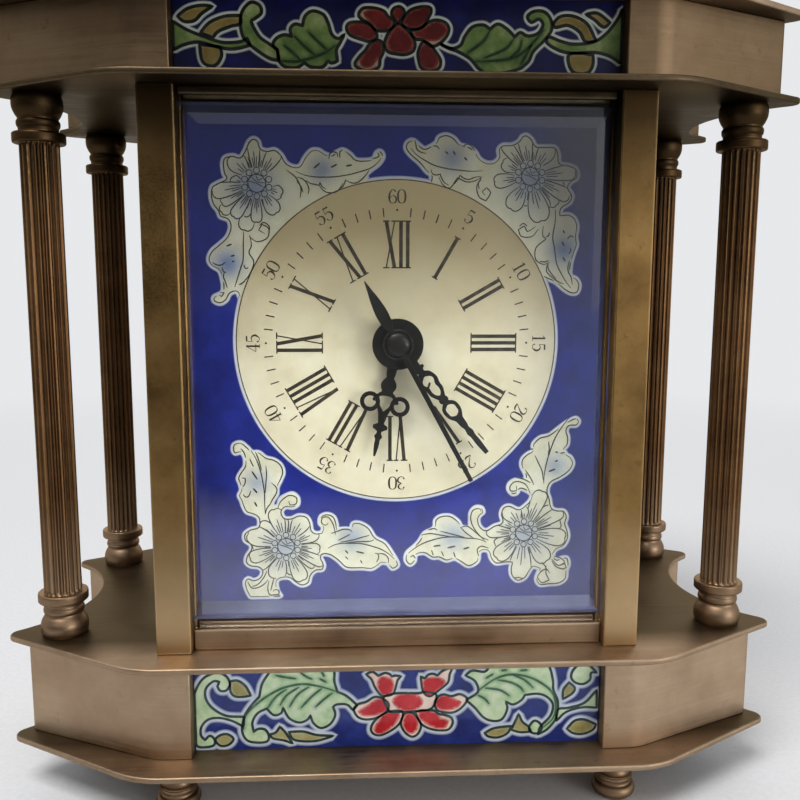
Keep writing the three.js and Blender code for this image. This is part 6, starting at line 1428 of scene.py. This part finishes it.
def build_column(name, x, y):
    profile = turned_profile(COLUMN_PROFILE)
    base = lathe(profile)
    capital = lathe([(radius, COLUMN_HEIGHT - height) for radius, height in profile])
    low = [COLUMN_END + level for level in RUNOUT_LEVELS]
    high = [COLUMN_HEIGHT - COLUMN_END - level for level in reversed(RUNOUT_LEVELS)]
    middle = [low[-1] + (high[0] - low[-1]) * part / SHAFT_PARTS for part in range(1, SHAFT_PARTS)]
    shaft = lathe([(SHAFT_RADIUS, height) for height in low + middle + high], FLUTES * FLUTE_SIDES, flute)
    shape = moved(merged(base, shaft, capital), Matrix.Translation((x, y, DECK)))
    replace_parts(make(f"fluted_{name}", *shape, "turned", "case", "dark_bronze", sharp=45), name)


def tube(path, radius, sides=24):
    """A closed round bar along a path in the XZ plane."""
    rings = []
    for index, point in enumerate(path):
        side = sideways(path, index, False)
        ring = []
        for step in range(sides):
            angle = step * math.tau / sides
            flat = point + side * radius * math.cos(angle)
            ring.append((flat.x, radius * math.sin(angle), flat.y))
        rings.append(ring)
    return stack(rings)


def bezier(start, first, second, end, count=20):
    spots = []
    for part in range(count):
        t = part / count
        s = 1 - t
        spots.append(Vector(start) * s ** 3 + Vector(first) * 3 * s * s * t
                     + Vector(second) * 3 * s * t * t + Vector(end) * t ** 3)
    return spots


def across(profile, start):
    """A turned shape laid along the X axis from a starting place, at the height of the handle's pivot."""
    turn = Matrix.Translation((start, 0, PIVOT_Z)) @ Matrix.Rotation(math.pi / 2, 4, "Y")
    return moved(lathe(profile, sides=40), turn)


def rounded_drum(radius, length, edge, bore=0.3):
    """Profile of a short cylinder with rounded rims."""
    rim = [(radius - inset, height) for inset, height in rounded_levels(0, length, edge)]
    return [(bore, 0), *rim, (bore, length)]


def build_handle():
    inner, outer = HANDLE_EYE_X
    eye_x = (inner + outer) / 2
    grip = HANDLE_GRIP_HALF
    rise = HANDLE_RISE
    foot = (-eye_x, HANDLE_SHOULDER / 2)
    left = bezier(foot, (-eye_x, HANDLE_SHOULDER * HANDLE_PULL), (-grip - HANDLE_BEND, rise), (-grip, rise))
    start = Vector((-eye_x, HANDLE_EYE_RADIUS - HANDLE_HOLD))
    path = [start, *left, Vector((-grip, rise)), Vector((0, rise))]
    path += [Vector((-point.x, point.y)) for point in reversed(path[:-1])]
    lifted = [Vector((point.x, point.y + PIVOT_Z)) for point in path]
    eye = rounded_drum(HANDLE_EYE_RADIUS, outer - inner, HANDLE_EYE_ROUND, HANDLE_EYE_BORE)
    shape = merged(tube(lifted, HANDLE_BAR_RADIUS), across(eye, inner), across(eye, -outer))
    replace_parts(make("handle_bow", *shape, "rail", "handle", "bronze"), "handle_bail")
    for side, name in ((1, "right"), (-1, "left")):
        build_ear(side, name)


def build_ear(side, name):
    """A rounded cheek on a turned foot, with the pin that the handle's eye turns on."""
    inner, outer = EAR_X
    cheek = EAR_RADIUS * EAR_CHEEK
    start = math.acos(EAR_CHEEK)
    head = circle((0, PIVOT_Z), EAR_RADIUS, 28, -start, math.pi + start)
    rings = []
    for inset, along in rounded_levels(inner, outer, EAR_ROUND):
        scale = (EAR_RADIUS - inset) / EAR_RADIUS
        top = [(along, point.x * scale, PIVOT_Z + (point.y - PIVOT_Z) * scale) for point in head]
        rings.append([(along, cheek * scale, ROOF), *top, (along, -cheek * scale, ROOF)])
    side_of_foot = [(EAR_FOOT_RADIUS * broad, EAR_FOOT_HEIGHT * high) for broad, high in EAR_FOOT_SHARES]
    foot_profile = [(EAR_FOOT_BORE, 0), *side_of_foot, (EAR_FOOT_BORE, EAR_FOOT_HEIGHT)]
    foot = moved(lathe(foot_profile), Matrix.Translation(((inner + outer) / 2, 0, ROOF)))
    pin_start = HANDLE_EYE_X[0]
    pin = across(rounded_drum(PIN_RADIUS, inner - pin_start + HANDLE_HOLD, PIN_ROUND), pin_start)
    points, faces = merged(stack(rings), foot, pin)
    turned = [(side * x, side * y, z) for x, y, z in points]
    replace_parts(make(f"handle_cheek_{name}", turned, faces, "rail", "case", "bronze"), f"handle_ear_{name}")


for node, level in PLATE_LEVELS.items():
    build_plate(node, level)
for tier in TIERS:
    for side in (1, -1):
        build_wall(tier, side)
for front, y in (("front", -1), ("rear", 1)):
    for name, x in (("left", -1), ("right", 1)):
        build_foot(f"foot_{front}_{name}", x * FOOT_X, y * FOOT_Y)
        build_column(f"column_{front}_{name}", x * COLUMN_X, y * COLUMN_Y)
build_handle()

# Hands; an outline is listed as its right half, from the tail to the tip, as across and along
HAND_STEP = 0.3
CROSS_BAR = ((1.3, 11), (0.5, 10.5), (-0.1, 10.1))
CROSS_BAR_WIDTH = 0.5
HOUR_LOOP = dict(x=3.1, y=12.6, outer=2.05, inner=1.2)
HOUR_BEAD = dict(x=2.3, y=11.95, radius=0.4)
CAP_PROFILE = (
    (0.9, -0.7), (CAP_RADIUS, -0.7), (CAP_RADIUS, 0.25), (2.95, 0.48), (2.75, 0.55), (2.6, 0.38), (2.5, 0.3),
    (2.4, 0.45), (2.1, 0.72), (1.6, 0.92), (0.9, 1.05), (0.1, 1.1),
)


class Hand(Layer):
    """A hand, drawn pointing at twelve and turned to the time shown."""

    def __init__(self, name, back, body, degrees):
        super().__init__(name, DIAL_Z, back - HAND_THICKNESS, back, "black", "black_metal", body)
        self.sine = math.sin(math.radians(degrees))
        self.cosine = math.cos(math.radians(degrees))

    def turned(self, line):
        return [Vector((x * self.cosine + y * self.sine, y * self.cosine - x * self.sine)) for x, y in line]

    def whole(self, words):
        right = curve(words, False, HAND_STEP)
        return self.turned(right + [Vector((-point.x, point.y)) for point in reversed(right)])

    def blade(self, words, opening=None):
        if opening:
            hole = self.whole(opening)
            self.region([self.whole(words), hole], keep=outside(hole))
        else:
            self.region([self.whole(words)])

    def hoop(self, centre, outer, inner):
        hole = self.turned(circle(centre, inner, 32))
        self.region([self.turned(circle(centre, outer, 44)), hole], keep=outside(hole))


hour = Hand("hour_pointer", HOUR_BACK, "hour", HOUR_ANGLE)
hour.hoop((0, 0), HOUR_HUB_RADIUS, HOUR_BORE)
hour.blade("1.15,3.6| 0.95,6.3 0.75,7.1| 1.4,8 1.62,8.8 1.4,9.5 1.15,10 1.3,10.6|")
hour.blade("1,10| 2,10.9 2.15,12 1.5,13.4 0.9,15|", "0.05,10.9 1.2,11.1 1.45,11.8 0.95,13 0.05,14.2|")
for side in (-1, 1):
    hour.hoop((side * HOUR_LOOP["x"], HOUR_LOOP["y"]), HOUR_LOOP["outer"], HOUR_LOOP["inner"])
    hour.region([hour.turned(circle((side * HOUR_BEAD["x"], HOUR_BEAD["y"]), HOUR_BEAD["radius"], 14))])
hour.blade("0.9,14.6| 0.87,15.4 0.6,16.7| 1.5,17.2| 1.5,17.8| 0.5,18.4 0.55,19| 0.85,19.5 0.5,20.1 0.5,21.4 "
           "0.2,23.6|")
soften(hour.done("hour_hand"), HAND_EDGE)

minute = Hand("minute_pointer", MINUTE_BACK, "minute", MINUTE_ANGLE)
minute.hoop((0, 0), HUB_RADIUS, MINUTE_BORE)
minute.blade("0.9,4.6| 0.8,6| 1.35,6.2| 1.35,6.7| 0.8,7 0.8,8|")
minute.blade("0.8,7.5| 1.6,8.3 2,9.9 1.65,11.2 1.6,12.3 1.2,13.3 0.7,14.3|",
             "0.1,8.5 1,9.1 1.2,9.9 0.75,10.9 0.85,12 0.6,12.9 0.1,13.4")
minute.ribbon(minute.turned(CROSS_BAR), CROSS_BAR_WIDTH, tips=0.8)
minute.blade("0.7,14| 1,14.4| 1,14.9| 0.65,15.3 0.7,15.7|")
minute.blade("0.65,15.2| 1.5,16 1.8,17 1.6,18.4 0.9,19.6|",
             "0.1,15.95 0.95,16.5 1.05,17.4 0.9,18.3 0.1,18.8")
minute.blade("0.9,19.3| 0.8,20.3 0.75,21.2 0.5,22.2 0.75,23.2 0.55,24.2 0.6,26 0.45,28.8|")
soften(minute.done("minute_hand"), MINUTE_EDGE)

seconds = Hand("seconds_pointer", SECONDS_BACK, "seconds", SECONDS_ANGLE)
seconds.blade("0.1,-14.2| 0.5,-12 0.9,-10 1.2,-7.6 1.2,-6 1.05,-4.5 0.65,-3 0.7,0| 0.55,8 0.45,31.5|")
soften(seconds.done("seconds_hand"), HAND_EDGE)
upright = Matrix.Translation((0, SECONDS_BACK, DIAL_Z)) @ Matrix.Rotation(math.pi / 2, 4, "X")
make("seconds_cap", *moved(lathe(CAP_PROFILE, sides=48), upright), "black", "seconds", "black_metal")

# Solids kept as they are, each with its own finish, and the rounded ones with finer edges; what isn't listed
# is brass
FINISH = {
    "post": ("post_front_left", "post_front_right", "post_rear_left", "post_rear_right", "door_frame"),
    "rail": ("base_rear_panel", "top_rear_panel"),
    "sill": ("case_floor",),
    "shady": ("case_ceiling",),
    "glass": ("front_glass",),
    "pane": ("side_glass_right", "side_glass_left", "door_glass"),
    "dial_blue": ("dial_plate",),
    "panel_blue": ("base_enamel_panel",),
    "deep_blue": ("top_enamel_panel",),
    "steel": ("winding_arbor", "setting_arbor", "hairspring", "pallet_lever", "escape_wheel"),
}
ROUNDED = ("post", "rail", "sill", "shady")
WELD_REACH = 1e-6
FLAT_WITHIN = math.radians(1)
finish_of = {node: key for key, nodes in FINISH.items() for node in nodes}
for node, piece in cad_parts.items():
    key = finish_of.get(node, "brass")
    piece.data.materials.clear()
    piece.data.materials.append(materials[key])
    if key in ROUNDED:
        weld = piece.modifiers.new("weld", "WELD")
        weld.merge_threshold = WELD_REACH
        flat = piece.modifiers.new("flat", "DECIMATE")
        flat.decimate_type = "DISSOLVE"
        flat.angle_limit = FLAT_WITHIN
        soften(piece, SOLID_ROUND, angle=40)

# Camera, floor, world and lamps, in metres and radians; a lamp is its place, its aim, its size and its power
LENS = 38.241
SENSOR = 36
CLIP_START = 0.005
CAMERA_PLACE = (-0.008348, -0.194469, 0.105437)
CAMERA_PITCH = -0.136
CAMERA_YAW = -0.0516
CAMERA_ROLL = 0.002
FLOOR_HALF = 3.0
FLOOR_FAR = (0.22, 0.7)
FLOOR_NEAR = (-0.16, -0.3)
NEAR_LEFT = (-0.08, -0.33)
NEAR_BRIGHT = 0.48
NEAR_DIM = 0.08
NEAR_TINT = (0.86, 0.95, 1, 1)
CLOTH = ((0.74, 0.74, 0.75, 1), (0.8, 0.8, 0.81, 1))
BACKDROP = (0.8, 0.81, 0.83, 1)
ROOM_TINT = (0.95, 0.97, 1, 1)
ROOM_STRENGTH = 0.3
PATCH_TINT = (0.9, 0.95, 1, 1)
PATCH_STRENGTH = 0.12
PATCH_SLOPES = {"X": (-2.3, 1.2), "Y": (-1.6, 0.2), "Z": (-2.5, 1.5)}
LAMPS = {
    "key": ((-0.25, -0.45, 0.95), (0, 0, 0.06), (0.5, 0.4), 8.0),
    "fill": ((0.62, -0.62, 0.16), (0, 0, 0.04), (0.4, 0.3), 2.2),
    "back": ((0.1, 0.75, 0.7), (0, 0, 0.1), (1.5, 1.1), 4.0),
}


def build_camera():
    data = bpy.data.cameras.new("camera")
    data.lens = LENS
    data.sensor_width = SENSOR
    data.clip_start = CLIP_START
    camera = bpy.data.objects.new("camera", data)
    bpy.context.collection.objects.link(camera)
    level = math.cos(CAMERA_PITCH)
    ahead = Vector((-level * math.sin(CAMERA_YAW), level * math.cos(CAMERA_YAW), math.sin(CAMERA_PITCH)))
    right = Vector((math.cos(CAMERA_YAW), math.sin(CAMERA_YAW), 0))
    up = right.cross(ahead)
    turned_right = right * math.cos(CAMERA_ROLL) + up * math.sin(CAMERA_ROLL)
    turned_up = up * math.cos(CAMERA_ROLL) - right * math.sin(CAMERA_ROLL)
    turn = Matrix((turned_right, turned_up, -ahead)).transposed().to_4x4()
    camera.matrix_world = Matrix.Translation(CAMERA_PLACE) @ turn
    bpy.context.scene.camera = camera


def build_floor():
    """A pale floor; its far part looks like the backdrop, and metal mirrors a darker painted reflection of
    its near part.
    """
    paint = Paint("floor", Roughness=0.8)
    cloth = paint.ramp(paint.noise(900, 3), (0.3, CLOTH[0]), (0.7, CLOTH[1]))
    paint.wire(Base_Color=cloth, Normal=paint.bump(paint.noise(1400, 2), 0.0001, 0.2))
    reach = paint.add("ShaderNodeVectorMath", {0: paint.place}, operation="LENGTH").outputs["Value"]
    far = paint.math("MULTIPLY", paint.span(reach, *FLOOR_FAR), paint.ray("Camera"))
    seen = paint.blend(far, paint.surface.outputs[0], paint.glow("Emission", 1.0, BACKDROP))
    # Painted reflection: glossy rays that meet the near floor see a darker glow in place of the lit floor.
    near = paint.math("MULTIPLY", paint.span(paint.along("Y"), *FLOOR_NEAR), paint.ray("Glossy"))
    bearing = paint.math("DIVIDE", paint.along("X"), paint.along("Y"))
    bright = paint.span(bearing, *NEAR_LEFT, NEAR_BRIGHT, NEAR_DIM)
    paint.cover(paint.blend(near, seen, paint.glow("Emission", bright, NEAR_TINT)))
    corners = [(x * FLOOR_HALF, y * FLOOR_HALF, 0) for x, y in ((-1, -1), (1, -1), (1, 1), (-1, 1))]
    mesh = bpy.data.meshes.new("floor")
    mesh.from_pydata(corners, [], [(0, 1, 2, 3)])
    mesh.materials.append(paint.material)
    floor = bpy.data.objects.new("floor", mesh)
    bpy.context.collection.objects.link(floor)


def build_world():
    """Even studio light; metal and glass mirror a pale room with a darker patch low in front, to the left."""
    world = bpy.data.worlds.new("studio")
    world.use_nodes = True
    sky = Nodes(world.node_tree)
    bearing = sky.add("ShaderNodeTexCoord").outputs["Generated"]

    def side(letter):
        slope, offset = PATCH_SLOPES[letter]
        parts = {0: sky.axis(letter, bearing), 1: slope, 2: offset}
        return sky.add("ShaderNodeMath", parts, operation="MULTIPLY_ADD", use_clamp=True).outputs[0]

    front_low = sky.math("MULTIPLY", side("Y"), side("Z"))
    dark = sky.math("MULTIPLY", front_low, side("X"))
    backdrop = sky.glow("Background", 1.0, BACKDROP)
    mirrored_room = sky.blend(dark, backdrop, sky.glow("Background", PATCH_STRENGTH, PATCH_TINT))
    shiny = sky.math("MAXIMUM", sky.ray("Glossy"), sky.ray("Transmission"))
    around = sky.blend(shiny, sky.glow("Background", ROOM_STRENGTH, ROOM_TINT), mirrored_room)
    whole = sky.blend(sky.ray("Camera"), around, backdrop)
    sky.links.new(whole, sky.nodes["World Output"].inputs["Surface"])
    bpy.context.scene.world = world


def build_lamp(name, place, aim, size, power):
    data = bpy.data.lights.new(name, "AREA")
    data.shape = "RECTANGLE"
    data.size, data.size_y = size
    data.energy = power
    lamp = bpy.data.objects.new(name, data)
    bpy.context.collection.objects.link(lamp)
    lamp.location = place
    lamp.rotation_euler = (Vector(aim) - Vector(place)).to_track_quat("-Z", "Y").to_euler()


build_camera()
build_floor()
build_world()
for name, (place, aim, size, power) in LAMPS.items():
    build_lamp(name, place, aim, size, power)
bpy.context.scene.view_settings.view_transform = "Standard"
